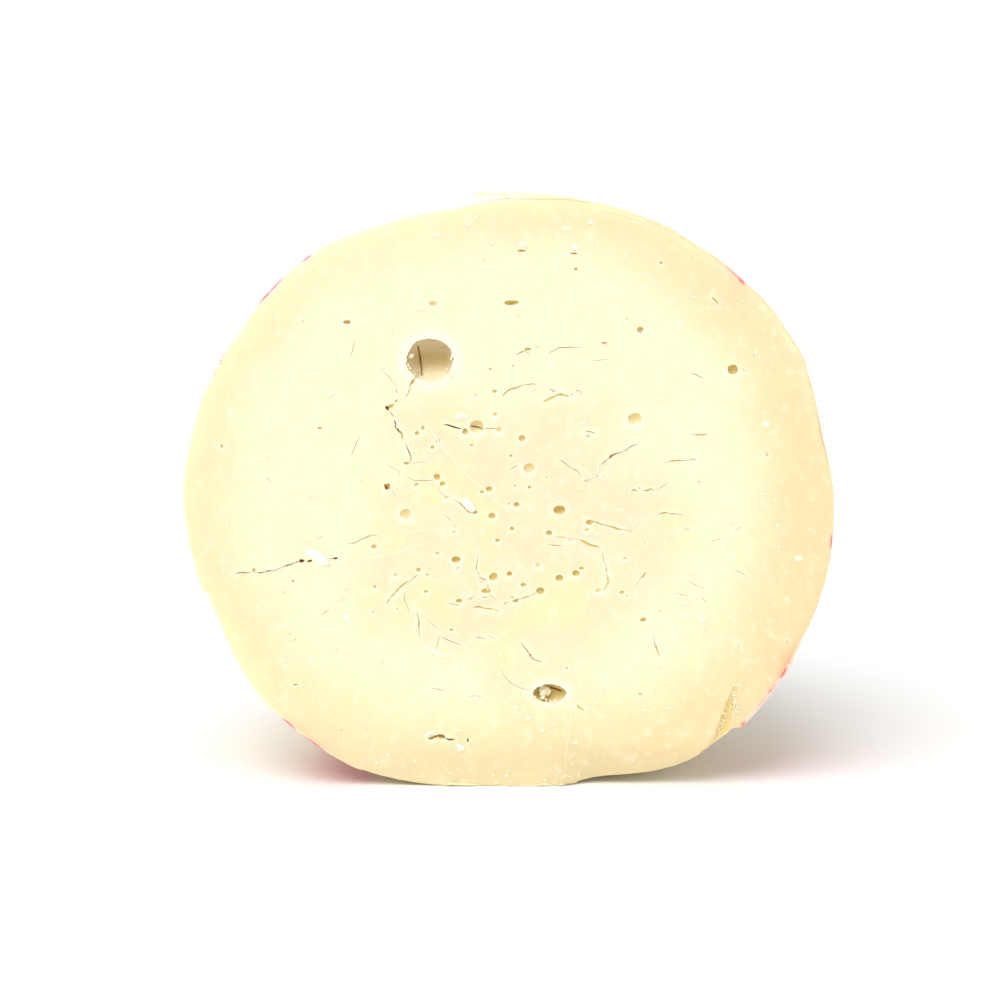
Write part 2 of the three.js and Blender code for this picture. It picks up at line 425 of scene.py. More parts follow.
@dataclass(frozen=True)
class CheeseForm:
    """The whole rounded shape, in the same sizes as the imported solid."""

    depth: float = 145.0
    face_y: float = -70.9
    centre_x: float = 0.4
    centre_z: float = 100.0
    # Radius of the rim every 15 degrees, anticlockwise from +X.
    rim_radii: tuple[float, ...] = (
        110.4, 109.1, 110.6, 108.8, 107.1, 105.8, 102.7, 102.2,
        105.9, 108.3, 109.3, 110.7, 111.2, 109.5, 109.0, 109.0,
        107.6, 103.7, 104.0, 101.8, 107.6, 110.6, 111.0, 111.3,
    )
    mean_radius: float = 105.0
    # Length of the side profile from the cut to the back pole.
    side_length: float = 230.0
    fullness: float = 2.5
    settle: float = 1.5
    belly_sag: float = 14.0
    rope_angles: tuple[float, ...] = (12.0, 98.0, 200.0, 311.0)
    rope_width: float = 6.0
    rope_depth: float = 3.2
    rim_dent: float = 0.8
    navel_depth: float = 5.0
    navel_radius: float = 17.0
    fold_height: float = 0.62
    fold_reach: float = 34.0
    strand_height: float = 0.34
    strand_pitch: float = 7.5
    dents: Layers = ((0.55, 30.0, 11), (0.2, 11.0, 12), (0.07, 4.0, 13))
    ledges: tuple[Ledge, ...] = (
        Ledge(314.0, 336.0, 1.9), Ledge(196.6, 188.0, 1.0), Ledge(24.6, 33.0, 0.5), Ledge(307.2, 299.0, 0.4),
        Ledge(52.0, 60.0, -0.4), Ledge(241.6, 232.0, 0.35),
    )
    # Soft rises and falls of the rim: middle angle, half width, rise.
    swells: tuple[Triple, ...] = (
        (217.0, 7.0, 0.9), (304.0, 8.5, 1.3), (327.5, 4.5, 0.9), (118.0, 6.0, -0.8), (74.0, 14.0, -0.5),
        (90.5, 3.0, 0.4), (31.0, 5.0, -0.4), (146.0, 4.0, -0.5), (96.0, 3.5, 0.6), (183.0, 12.0, 0.8),
        (162.0, 4.5, 0.5), (125.0, 6.0, 0.6),
    )
    rim_grain: float = 0.22
    rim_noise: Layers = ((0.6, 9.0, 1), (0.4, 2.6, 2))
    worn_edge: float = 0.6
    # Where the worn edge is wider: middle angle, half width, how much wider.
    wide_edges: tuple[Triple, ...] = (
        (319.5, 5.0, 1.3), (327.0, 4.0, 0.8), (225.2, 2.2, 0.45), (231.5, 3.0, 0.45), (44.5, 4.0, 0.7),
        (129.5, 1.2, 0.3), (138.0, 3.4, 0.4), (152.4, 2.6, 0.3), (-6.8, 2.0, 0.35), (177.0, 20.0, 0.4),
    )

    def rim_radius(self, degrees: Array) -> Array:
        """Radius of the rim: a closed Catmull-Rom curve through rim_radii, with ledges, swells and grain.

        Args:
            degrees: Angle round the cheese, anticlockwise from +X.

        Returns:
            The radius at each angle.
        """
        radii = np.array(self.rim_radii)
        count = len(radii)
        place = np.mod(degrees, 360.0) / (360.0 / count)
        first = np.floor(place).astype(int) % count
        u = place - np.floor(place)
        p0, p1, p2, p3 = (radii[(first + k) % count] for k in (-1, 0, 1, 2))
        slope_in, slope_out, rise = (p2 - p0) / 2.0, (p3 - p1) / 2.0, p2 - p1
        square, cube = 3.0 * rise - 2.0 * slope_in - slope_out, slope_in + slope_out - 2.0 * rise
        curve = p1 + u * (slope_in + u * (square + u * cube))
        ledges = sum(ledge.height(degrees) for ledge in self.ledges)
        swells = sum(rise * about(degrees, at, half) for at, half, rise in self.swells)
        turn = np.radians(degrees)
        ring = np.stack([np.cos(turn), np.sin(turn), np.zeros_like(turn)], axis=-1) * self.mean_radius
        grain = self.rim_grain * layered(ring, self.rim_noise)
        return curve + ledges + swells + grain

    def settled(self, z: Array) -> Array:
        """Height once the soft cheese rests on the floor: a short parabola that ends flat at 0."""
        eased = (z + self.settle) ** 2 / (4.0 * self.settle)
        return np.where(z >= self.settle, z, np.where(z <= -self.settle, 0.0, eased))

    def rope(self, degrees: Array) -> Array:
        """Nearness to the rope dents: a bell of height 1 on each."""
        return sum(about(degrees, angle, self.rope_width) for angle in self.rope_angles)

    def edge(self, degrees: Array) -> Array:
        """Width of the worn edge between cut and rind, wider where the skin shows from the front."""
        wider = sum(width * about(degrees, at, half) for at, half, width in self.wide_edges)
        return self.worn_edge + wider

    def skin(self, degrees: Array, reach: Array) -> Array:
        """A point of the rind.

        The side profile is a superellipse: reach and shrink, each to the power of fullness, add up
        to 1. The middle line sags towards the back, the ropes press dents, and the back has a
        pucker. Then the rind moves along its normal by slow dents, by folds that run to the pucker
        and by the strands of the ropes, and at last it settles on the floor.

        Args:
            degrees: Angle round the cheese, anticlockwise from +X.
            reach: How far back, from 0 at the cut to 1 at the back pole.

        Returns:
            Points, (n, 3).
        """
        turn = np.radians(degrees)
        shrink = np.clip(1.0 - reach**self.fullness, 0.0, 1.0) ** (1.0 / self.fullness)
        along = np.arcsin(np.clip(reach ** (self.fullness / 2.0), 0.0, 1.0)) * 2.0 / np.pi
        rope = self.rope(degrees)
        dent = self.rim_dent + (self.rope_depth - self.rim_dent) * smooth(along, 0.04, 0.5)
        radius = (self.rim_radius(degrees) - dent * rope) * shrink
        underside = self.rim_radii[len(self.rim_radii) * 3 // 4]
        drop = self.belly_sag * np.tanh(underside * (1.0 - shrink) / self.belly_sag)
        navel = self.navel_depth * bell(radius, self.navel_radius)
        out_x, out_z = np.cos(turn), np.sin(turn)
        x = self.centre_x + radius * out_x
        z = self.centre_z - drop + radius * out_z
        y = self.face_y + self.depth * reach - navel

        sideways, back = shrink**1.5 / self.mean_radius, reach**1.5 / self.depth
        length = np.hypot(sideways, back)
        sideways, back = sideways / length, back / length
        place = np.stack([x, y, z], axis=-1)
        ring = np.stack([out_x, out_z, np.zeros_like(turn)], axis=-1)
        slow = layered(place, self.dents)
        fold_angle = turn + 0.35 * noise(place, 26.0, 14)
        folds = np.cos(19.0 * fold_angle) + 0.7 * np.cos(31.0 * fold_angle + 1.3)
        folds += 0.8 * noise(ring, 0.12, 15)
        folds *= bell(radius, self.fold_reach) * smooth(radius, 0.0, 7.0)
        turns = along * self.side_length / self.strand_pitch
        strand = np.cos(2.0 * np.pi * turns + turned_apart(degrees, 0.0) * 0.9)
        strands = strand * rope**2 * smooth(along, 0.05, 0.25) * (1.0 - smooth(along, 0.9, 1.0))
        move = smooth(reach, 0.0, 0.05) * slow + self.fold_height * folds + self.strand_height * strands
        x = x + move * sideways * out_x
        z = z + move * sideways * out_z
        y = y + move * back
        return np.stack([x, y, self.settled(z)], axis=-1)

    def polar(self, x: Array, z: Array) -> tuple[Array, Array]:
        """Angle in degrees and distance from the middle of the cut."""
        across, above = x - self.centre_x, z - self.centre_z
        return np.degrees(np.arctan2(above, across)), np.hypot(across, above)


# ---- What is in the paste ------------------------------------------------------------------


# Mean half size past which an eye is a cave, and depth under which a hole is a dent.
LARGE_MEAN = 3.0
SHALLOW_DEPTH = 0.8


@dataclass(frozen=True)
class Eye:
    """A round hole in the paste: place, half width, half height, and depth over its mean half size."""

    x: float
    z: float
    half_width: float
    half_height: float
    depth: float = 1.0

    @property
    def mean(self) -> float:
        """Mean half size of the mouth."""
        return math.sqrt(self.half_width * self.half_height)

    @property
    def large(self) -> bool:
        """Whether it is a cave rather than a small eye."""
        return self.mean > LARGE_MEAN

    @property
    def shallow(self) -> bool:
        """Whether it is a dent rather than a deep hole."""
        return self.depth < SHALLOW_DEPTH

    def away(self, x: Array, z: Array, wider: float = 0.0) -> Array:
        """Distance from its middle as a share of its half sizes: 1 on the edge of its mouth."""
        return np.hypot((x - self.x) / (self.half_width + wider), (z - self.z) / (self.half_height + wider))


@dataclass(frozen=True)
class Crack:
    """A crack: its widest opening, depth, steep side, and the places (x, z) that it runs through.

    The steep side goes from -1 to 1, positive to the left of the path.
    """

    opening: float
    depth: float
    lean: float
    path: tuple[Place, ...]


EYES = tuple(Eye(*sizes) for sizes in (
    (-26.9, 148.7, 8.0, 7.3, 1.0), (13.8, 33.6, 5.7, 3.3, 1.1), (75.4, 145.4, 1.8, 1.8, 1.1),
    (16.9, 97.5, 2.0, 1.6, 1.1), (6.6, 111.8, 1.9, 1.9, 0.5), (42.5, 128.7, 2.3, 2.1, 0.5),
    (-35.5, 96.0, 2.0, 1.9, 0.4), (-11.2, 126.0, 2.4, 2.4, 0.62), (-15.1, 124.4, 1.1, 1.1, 0.8),
    (-3.6, 125.0, 1.2, 1.2, 0.5), (-5.1, 138.1, 0.8, 0.7, 0.9), (-11.5, 136.9, 0.45, 0.45, 0.9),
    (-4.9, 130.2, 1.0, 0.9, 0.7), (-7.3, 130.8, 0.4, 0.4, 0.7), (-31.4, 123.8, 0.8, 0.8, 0.9),
    (-29.4, 125.6, 0.6, 0.9, 0.9), (-31.1, 125.0, 0.35, 0.35, 0.8), (-24.3, 121.2, 0.7, 0.7, 0.9),
    (-26.2, 119.0, 0.7, 0.7, 0.9), (-12.9, 119.7, 0.7, 0.5, 0.9), (0.5, 116.1, 0.6, 0.6, 0.9),
    (4.2, 122.1, 1.2, 1.1, 0.9), (-24.7, 108.9, 1.2, 1.1, 1.0), (-22.8, 106.5, 1.0, 0.9, 0.9),
    (-31.7, 106.1, 1.0, 0.9, 0.7), (-7.0, 104.8, 1.1, 1.0, 1.0), (-9.4, 103.7, 0.7, 0.6, 0.9),
    (-21.5, 101.7, 0.8, 0.7, 0.5), (1.9, 105.8, 0.5, 0.5, 0.8), (6.8, 105.3, 0.7, 0.6, 0.9),
    (12.6, 108.7, 0.4, 0.4, 0.8), (-6.0, 95.5, 1.2, 1.1, 1.0), (-11.8, 96.7, 0.9, 0.8, 0.9),
    (2.4, 99.4, 1.0, 0.95, 1.1), (-0.3, 99.6, 0.4, 0.5, 0.9), (0.9, 91.1, 0.8, 0.7, 1.0),
    (-4.1, 87.0, 0.8, 0.7, 1.0), (-18.4, 91.7, 0.7, 0.5, 0.7), (-18.9, 89.9, 0.8, 0.6, 0.7),
    (-46.3, 84.9, 1.0, 0.8, 0.8), (-24.6, 82.5, 0.9, 0.8, 0.7), (-18.3, 80.4, 1.6, 1.2, 1.1),
    (-17.6, 77.3, 0.8, 0.75, 0.5), (-31.1, 76.9, 0.8, 0.8, 0.9), (-39.0, 75.0, 0.9, 0.8, 0.5),
    (-28.1, 75.2, 0.6, 0.5, 0.8), (-46.1, 70.9, 0.7, 0.6, 0.8), (-28.6, 69.3, 0.7, 0.6, 0.8),
    (-5.5, 74.4, 1.5, 1.4, 0.9), (0.0, 75.4, 0.95, 0.9, 1.1), (-8.0, 69.5, 1.7, 0.9, 0.8),
    (-17.3, 66.1, 1.15, 0.8, 1.0), (-19.9, 56.0, 0.7, 0.5, 0.9), (27.3, 93.2, 1.2, 1.0, 1.0),
    (26.5, 90.6, 1.0, 0.7, 0.6), (30.2, 89.9, 0.5, 0.4, 0.5), (13.5, 89.6, 1.1, 0.9, 1.0),
    (20.7, 86.8, 0.7, 0.6, 0.4), (9.8, 78.3, 1.2, 1.1, 0.4), (22.8, 75.6, 1.3, 1.1, 1.0),
    (24.7, 77.3, 0.9, 0.6, 1.0), (17.1, 74.0, 1.4, 1.2, 1.0), (10.6, 69.5, 1.5, 1.3, 1.0),
    (4.8, 71.6, 1.0, 0.7, 1.0), (2.2, 66.0, 0.9, 0.7, 1.0), (30.4, 69.5, 1.2, 1.0, 0.5),
    (27.6, 68.4, 0.5, 0.4, 0.6), (-38.4, 63.2, 0.5, 0.4, 0.8), (-46.8, 62.2, 0.5, 0.4, 0.8),
))

# Torn pits, less round than eyes, in the same five sizes.
PITS = tuple(Eye(*sizes) for sizes in (
    (-41.7, 105.6, 1.2, 1.2, 0.9), (-42.0, 105.0, 0.6, 0.5, 2.4), (-35.0, 113.5, 0.9, 0.7, 0.9),
    (-54.8, 161.6, 1.5, 0.7, 1.2), (0.8, 168.0, 2.4, 0.9, 1.1), (-25.9, 167.7, 1.6, 1.2, 0.5),
    (6.2, 152.4, 1.1, 0.7, 0.9), (44.0, 158.9, 1.1, 1.2, 0.8), (39.6, 162.6, 0.4, 0.4, 0.9),
    (31.9, 154.5, 1.0, 0.4, 0.8), (4.1, 185.4, 1.4, 0.4, 1.2), (21.6, 184.5, 1.4, 0.3, 1.2),
    (22.3, 179.3, 0.7, 0.6, 1.0), (50.8, 181.4, 0.7, 0.5, 0.8), (-6.5, 145.7, 0.5, 0.5, 0.8),
    (1.2, 146.7, 0.5, 0.5, 0.8), (-64.3, 125.6, 0.9, 0.5, 0.9), (-97.7, 119.5, 0.5, 0.7, 1.2),
    (-73.9, 36.6, 0.8, 0.35, 1.2), (-95.7, 93.0, 0.35, 0.3, 1.0), (-87.5, 76.7, 0.75, 0.65, 0.9),
    (39.7, 80.7, 1.1, 0.65, 0.7), (38.6, 69.0, 0.95, 0.7, 0.8), (40.4, 67.7, 0.35, 0.35, 1.0),
    (45.9, 59.4, 1.2, 0.7, 1.0), (42.1, 93.7, 0.3, 0.3, 1.0), (38.4, 98.2, 0.3, 0.3, 1.0),
    (46.3, 86.1, 0.3, 0.3, 1.0), (64.5, 107.2, 0.4, 0.4, 1.0), (87.5, 116.4, 0.5, 0.5, 0.8),
    (75.1, 131.1, 0.3, 0.3, 1.0), (19.8, 42.5, 0.6, 0.5, 0.8), (45.1, 33.4, 0.8, 0.5, 0.9),
    (-71.0, 80.0, 1.0, 0.6, 2.0), (-59.5, 80.8, 0.8, 0.4, 1.6), (-23.5, 18.4, 1.5, 0.9, 1.3),
    (-26.9, 17.6, 1.3, 0.5, 1.2), (-20.4, 17.3, 1.7, 0.45, 1.2), (26.5, 122.7, 1.0, 0.7, 0.5),
    (20.5, 124.6, 0.6, 0.4, 0.5), (33.2, 112.9, 0.7, 0.4, 0.5), (-14.4, 16.9, 0.35, 0.7, 1.6),
))

# Where a hollow takes the darkest painted shade: across, above, how far.
DARK_SPOTS = (
    (-71.0, 80.0, 1.7), (-41.4, 132.2, 1.1), (-42.1, 105.0, 0.9), (-59.5, 80.8, 1.2), (-14.4, 16.9, 1.0),
    (-81.2, 76.7, 0.5), (-38.8, 127.4, 1.2), (-38.0, 125.0, 1.1), (-67.6, 80.6, 1.4), (-72.6, 80.2, 0.7),
    (36.4, 116.9, 0.5), (-19.0, 126.0, 1.6), (-10.6, 63.6, 0.5),
)

# Openings that come again and again among the cracks: widest opening, depth, steep side.
HAIR = (0.21, 0.39, 0.0)
FINE = (0.27, 0.44, 0.0)
THIN = (0.36, 0.49, 0.0)
PLAIN = (0.43, 0.55, 0.0)
OPEN = (0.68, 0.53, 0.4)
WIDE = (0.78, 0.55, 0.4)

# Cracks: widest opening, depth, steep side, then the places that each runs through.
CRACKS = tuple(Crack(opening, depth, lean, tuple(path)) for opening, depth, lean, *path in (
    (0.38, 0.7, 0, (-35.5, 121), (-33.5, 115.5), (-34, 114), (-35, 113.5)),
    (*HAIR, (-34, 113.5), (-27.5, 114)), (*HAIR, (-44, 146.5), (-38, 139.5)),
    (*HAIR, (-42, 113), (-38, 111), (-37.5, 108.5)),
    (*FINE, (-35.5, 109), (-33, 108), (-29, 107.5), (-23, 108)),
    (*FINE, (-23.5, 106), (-24.5, 105), (-23.5, 103.5), (-21.5, 102), (-20, 102.5)),
    (*OPEN, (-19, 101.5), (-15, 98), (-13.5, 96.5), (-12, 97)), (*HAIR, (-22.5, 96), (-19.5, 93.5)),
    (*FINE, (-40.5, 104.5), (-38, 101)), (*THIN, (-54, 115.5), (-52, 121), (-50.5, 123)),
    (*FINE, (-52, 156), (-53, 152), (-54, 150)), (*PLAIN, (2, 150.5), (5, 152), (6.5, 151)),
    (*HAIR, (8.5, 153), (10.5, 153.5)), (*PLAIN, (13, 151), (17, 153), (24, 153)),
    (*HAIR, (27.5, 148.5), (34.5, 149)), (*THIN, (16.5, 115), (23.5, 110.5), (24.5, 108.5)),
    (0.8, 0.5, 0.4, (52.9, 113.8), (56.3, 114.4), (60, 114.5), (63.7, 114.8)),
    (0.55, 0.45, 0.3, (60.9, 123.8), (62.6, 123.4), (67.5, 123.3)), (*PLAIN, (61, 144.5), (66, 142.5)),
    (0.7, 0.55, 0.3, (50.3, 95.8), (53.4, 96.5), (55.4, 96.2), (59.5, 95.8)),
    (*PLAIN, (27.5, 94), (34.5, 91.5)), (0.98, 0.55, 0.4, (34, 92), (36.5, 91), (38.5, 90.5)),
    (*FINE, (37.5, 91), (42.5, 90)), (*THIN, (15.5, 88.5), (24, 87)),
    (0.89, 0.55, 0.4, (23.5, 87.5), (27, 85.5), (31, 84.5)), (*FINE, (12, 85.5), (18.5, 85)),
    (*OPEN, (49.5, 54), (50, 50.5), (52, 46)), (*THIN, (-42.5, 66.5), (-40.5, 66.5)),
    (0.3, 0.4, 0, (-36, 69), (-36, 66.5), (-34, 61.5)), (*HAIR, (-28, 59.5), (-24.5, 56)),
    (*THIN, (-24, 54.5), (-25, 49)), (*THIN, (-23.5, 53.5), (-16.5, 50.5)),
    (*THIN, (-9.5, 67.5), (-7.5, 67)), (*FINE, (-7.5, 68.5), (-4, 66)), (*THIN, (-12, 53.5), (-7.5, 52.5)),
    (*FINE, (-7.5, 54), (-4.5, 52.5)), (*THIN, (-56, 86), (-53.5, 86), (-47, 89), (-43, 88)),
    (*HAIR, (-66.5, 87), (-63, 89)), (*WIDE, (-62, 81), (-58, 80.5)), (*THIN, (-64.5, 61), (-61.5, 63)),
    (*HAIR, (-43, 46.5), (-44, 42.5)), (*THIN, (-28, 36), (-24.5, 35), (-22, 34.5)),
    (*HAIR, (-14.5, 32.5), (-9, 32.5)), (*WIDE, (4, 51.5), (8, 45.5), (11.5, 44.5)),
    (*FINE, (-2.9, 42.5), (-2.6, 40.4), (0.2, 37.6), (4.3, 35.3), (8.1, 34.6)),
    (*OPEN, (23.5, 30), (23.5, 29), (26, 27.5)), (*THIN, (60, 73.5), (67.5, 70)),
    (*HAIR, (54.5, 69), (63.5, 67.5)), (*HAIR, (65.5, 67.5), (68, 65.5)), (*THIN, (59, 91), (62, 91)),
    (*HAIR, (76, 77.5), (81.5, 74.5)), (*THIN, (76.5, 90.5), (79.5, 92)), (*HAIR, (68.5, 87), (74, 88)),
    (*THIN, (-8.5, 125.5), (-4, 125.5)), (*WIDE, (68, 170), (70.5, 167.5)),
    (*THIN, (78.5, 146), (80.5, 144.5)), (*THIN, (87, 118), (88, 116)), (*THIN, (95, 50.5), (96, 52.5)),
    (*THIN, (31, 155), (33, 153.5)), (*THIN, (-83, 109), (-81, 106.5)),
    (0.3, 0.2, 0, (28, 199.5), (43, 195.5), (48.5, 193.5)), (*THIN, (3, 113), (0, 111.5)),
    (1.7, 0.85, -0.6, (-31.1, 143.8), (-32.2, 142), (-33.4, 140.3), (-33.8, 139.3)),
    (0.45, 0.6, 0, (-33.9, 139.4), (-34.4, 137.2), (-35.2, 135.9)),
    (0.41, 0.52, 0, (-38.3, 139.1), (-38.1, 137.2)), (0.54, 0.52, 0, (-38, 135.5), (-38.9, 134.2)),
    (1.5, 0.55, 0.3, (-38.8, 133.6), (-40.3, 133.2), (-41.4, 132.3)),
    (0.86, 1.21, 0, (-42, 133.2), (-40.9, 131.4)), (0.35, 0.7, 0, (-40.9, 131.4), (-38.7, 128.9)),
    (0.6, 1.05, 0, (-39.2, 128.5), (-38.5, 126.8), (-38.7, 126), (-37.7, 124.6), (-37.1, 123.5)),
    (1.15, 0.5, -0.7, (-37.5, 125), (-36.6, 123.8), (-36.3, 122.4), (-36, 121.6)),
    (0.42, 0.7, 0, (31.1, 113.2), (32.8, 114.5), (33.8, 115.4)),
    (1.15, 0.95, -0.6, (33.6, 115.2), (34.8, 116.4), (36.2, 116.8), (37.3, 117.1)),
    (0.55, 0.95, 0, (37, 117), (38.4, 117.4)),
    (0.42, 0.75, 0, (38.4, 117.4), (39.6, 118.1), (41.1, 119.2), (42.3, 119.6), (44, 120)),
    (0.54, 0.52, 0, (28.7, 109.5), (30.1, 109.2)),
    (0.61, 0.52, 0.4, (31.3, 109.7), (32.1, 109.8), (32.9, 109)),
    (0.35, 0.39, 0, (25, 107.1), (26.7, 107.7), (28.4, 108.1)),
    (0.86, 0.52, 0.6, (41.5, 103.9), (42.6, 104.4), (43.7, 103.9)),
    (0.8, 0.52, 0.6, (43.8, 105.2), (45.2, 104.5)),
    (0.69, 0.52, 0.6, (45.5, 104.3), (47.2, 104), (48.2, 104.8), (49.5, 104.2)),
    (0.29, 0.39, 0, (49.6, 104.4), (52.9, 106), (54, 107)),
    (0.86, 0.52, 0.5, (25.6, 124.8), (27, 124.4), (28, 124.2), (29.4, 123.7)),
    (0.38, 0.39, 0, (31.7, 82.7), (32.2, 80.2), (32.7, 78.7)),
    (0.69, 0.33, 0.2, (33, 78.9), (33.2, 77.1), (33, 75.6)),
    (1.15, 0.34, 0.3, (33.5, 75.3), (33.8, 73.3), (33.3, 71.2), (32.4, 69.8), (31.4, 69.6)),
    (0.54, 0.45, 0, (46.6, 76.1), (45.6, 74.7), (44.7, 73.6)), (0.24, 0.33, 0, (44.7, 73.6), (42.9, 70.5)),
    (1, 0.42, 0.3, (11.2, 134.5), (13, 135.2), (14.4, 135.8), (15.9, 136.5)),
    (1.4, 0.55, 0.6, (15.3, 136.1), (16.4, 136.8), (17.6, 137), (18.6, 136.7), (20.3, 136.3)),
    (0.69, 0.5, 0.3, (13.8, 139.1), (14.6, 138.1), (15.7, 137.8)),
    (0.57, 0.52, 0.3, (22.1, 138), (23.3, 138.5), (24.1, 138), (24.5, 136.7)),
    (0.54, 0.39, 0, (20.6, 137.1), (21.4, 137.4)),
    (0.65, 0.6, 0.4, (-2.2, 136.2), (-1.4, 137.6), (0.1, 138.7), (2.2, 139.4), (4.2, 140.1)),
    (0.6, 0.5, 0.2, (3.0, 139.7), (4.2, 140.1), (6.2, 140.4), (7.9, 140.6), (9.4, 140.4)),
    (1.15, 0.55, 0.6, (-40.8, 67), (-39.2, 68.7), (-37, 71.1), (-35.3, 72.6), (-34.1, 72.9)),
    (0.63, 0.52, 0.5, (-34, 72.7), (-32.5, 74.2), (-31.2, 75.8)),
    (0.38, 0.39, 0, (-42.3, 65.1), (-40.8, 67)),
    (0.63, 0.55, -0.5, (-31.8, 62.7), (-31.1, 59.4), (-30.9, 56.9), (-30.6, 53.1)),
    (0.86, 0.5, 0.5, (-12.5, 63.8), (-10.1, 64), (-8.4, 63.3), (-5.3, 62.9), (-3.1, 62.3)),
    (0.38, 0.39, 0, (-11, 83), (-11.1, 80.2), (-11.3, 77.1), (-10.3, 74.9), (-9.6, 74.2)),
    (0.75, 0.55, 0.2, (-10.6, 74.2), (-9.1, 73.5), (-7.8, 73.2)),
    (0.47, 0.45, 0, (-10, 72.3), (-8.7, 73), (-8, 73.3)),
    (0.43, 0.45, 0, (-7.9, 72.3), (-7.4, 71.2), (-6.9, 70)),
    (0.41, 0.42, 0, (-20.9, 65.2), (-18.7, 64.8), (-16.4, 64.3)),
    (0.46, 0.45, 0, (-14.2, 67.6), (-12.7, 67.6)), (0.61, 0.52, 0, (-14.4, 66.5), (-12.5, 67)),
    (0.57, 0.5, 0.2, (-2.3, 64.7), (-1.2, 65.3), (0, 65.4)), (0.46, 0.52, 0, (0.6, 67.7), (1.6, 67)),
    (1.05, 0.55, 0.4, (1, 65.6), (2.2, 66.2), (3.6, 66.7)),
    (0.69, 0.55, 0.5, (3.7, 66.3), (5.8, 67.2), (7.3, 67.8)),
    (0.41, 0.39, 0, (7.2, 67.7), (8.4, 68.4), (9.6, 69.1)), (0.55, 0.7, 0, (-93.6, 75.7), (-90.2, 76.2)),
    (0.7, 0.9, 0.3, (-86.3, 75.9), (-85.2, 75.8), (-84.1, 76.2)),
    (0.7, 0.95, 0.3, (-83.4, 76.2), (-81.4, 76.6)),
    (0.45, 0.7, 0, (-81.1, 76.6), (-79.1, 77.1), (-77.7, 77.8)),
    (0.7, 0.9, 0.3, (-77.8, 77.7), (-75.1, 78.6), (-73.2, 79.4)), (0.65, 1, 0, (-73.4, 79.3), (-72, 79.8)),
    (0.8, 0.99, 0, (-69.4, 79.6), (-67.4, 80.1)),
    (0.6, 0.95, 0.3, (-22.6, 127), (-20.9, 126.5), (-18.5, 125.8), (-15.8, 125.2)),
    (0.5, 0.95, 0, (6.6, 48.3), (7.4, 47), (8.3, 46)), (0.3, 0.75, 0, (-12.4, 63.9), (-10, 64.1)),
    (0.42, 0.5, 0, (-94.7, 75.2), (-91.9, 75.7), (-89.1, 75.9), (-87.6, 76.2)),
    (0.42, 0.5, 0, (-87.8, 76.1), (-85.9, 75.9), (-83.7, 76.1), (-81.6, 76.5), (-79.2, 76.8)),
    (1.0, 0.9, 0, (-27.5, 17.8), (-26.1, 18.2), (-24.4, 18.6), (-22.3, 17.8), (-20.1, 16.9)),
))

# Cracks in the walls of eyes: widest opening, which eye of the list, how much painted shade, then the
# places.
WALL_CRACKS = (
    (0.6, 0, 1.0, (-31.15, 152.9), (-30.85, 151.2), (-30.45, 148.7), (-30.15, 146.3)),
    (0.36, 0, 0.8, (-30.2, 146.8), (-30.0, 145.0), (-29.8, 143.2)),
    (0.24, 0, 0.2, (-22.9, 152.3), (-21.6, 152.7)),
    (0.62, 7, 0.5, (-13.3, 126.2), (-11.0, 125.7), (-8.8, 125.3)),
    (0.7, 1, 1.0, (13.3, 34.75), (15.4, 34.4), (18.0, 33.7)),
)

# Thin ridges that a wire or blade left, or that the curd pulled up: width, height, places.
SEAMS = (
    (0.9, 0.14, (-38, 138), (-35.5, 136), (-32.5, 133), (-27.5, 125.5), (-22.5, 119), (-17.5, 112.5),
     (-11, 106.5), (-8.5, 104.5), (2, 94.5), (9, 89)),
    (0.6, 0.10, (-39, 90), (-26, 90.5), (-20.5, 92)),
    (0.6, 0.08, (-65, 77), (-56.5, 79), (-41, 82.5), (-30, 86)),
    (0.5, 0.10, (0, 103), (12, 106), (22.5, 111.5)), (0.5, 0.08, (24, 108), (31, 100), (35, 93)),
    (0.6, 0.09, (12, 103.5), (17, 100.5), (21, 99)), (0.5, 0.08, (4.5, 110), (9, 106), (13, 101)),
    (0.5, 0.08, (-97, 74), (-91, 75)), (0.6, 0.08, (-84, 82), (-66, 84), (-60, 88)),
    (0.6, 0.09, (-30, 60), (-30.5, 66), (-36, 72)), (0.5, 0.08, (45, 72), (41, 66), (33, 64)),
    (0.6, 0.08, (-57, 78), (-42, 82), (-25, 87)), (0.5, 0.09, (-66, 62), (-58, 66), (-55, 68)),
    (0.6, 0.07, (24, 32), (28, 28), (36, 24)), (0.4, 0.08, (44, 120), (47, 121.5), (52, 126)),
    (0.6, 0.08, (-26, 33), (-12, 31), (-8, 31.5)),
)

# Lines that the knife left: across and height of the top, the same of the foot, and the share of a
# pale ridge along it.
KNIFE_LINES = (
    (-28.7, 54.0, -28.8, 18.0, 1.0), (23.4, 53.0, 19.3, 5.5, 1.0), (25.6, 192.0, 25.7, 174.0, 0.8),
    (-26.7, 198.0, -35.3, 157.0, 0.0), (-62.7, 162.0, -62.9, 150.0, 1.1), (60.0, 60.0, 63.0, 34.0, 0.0),
)

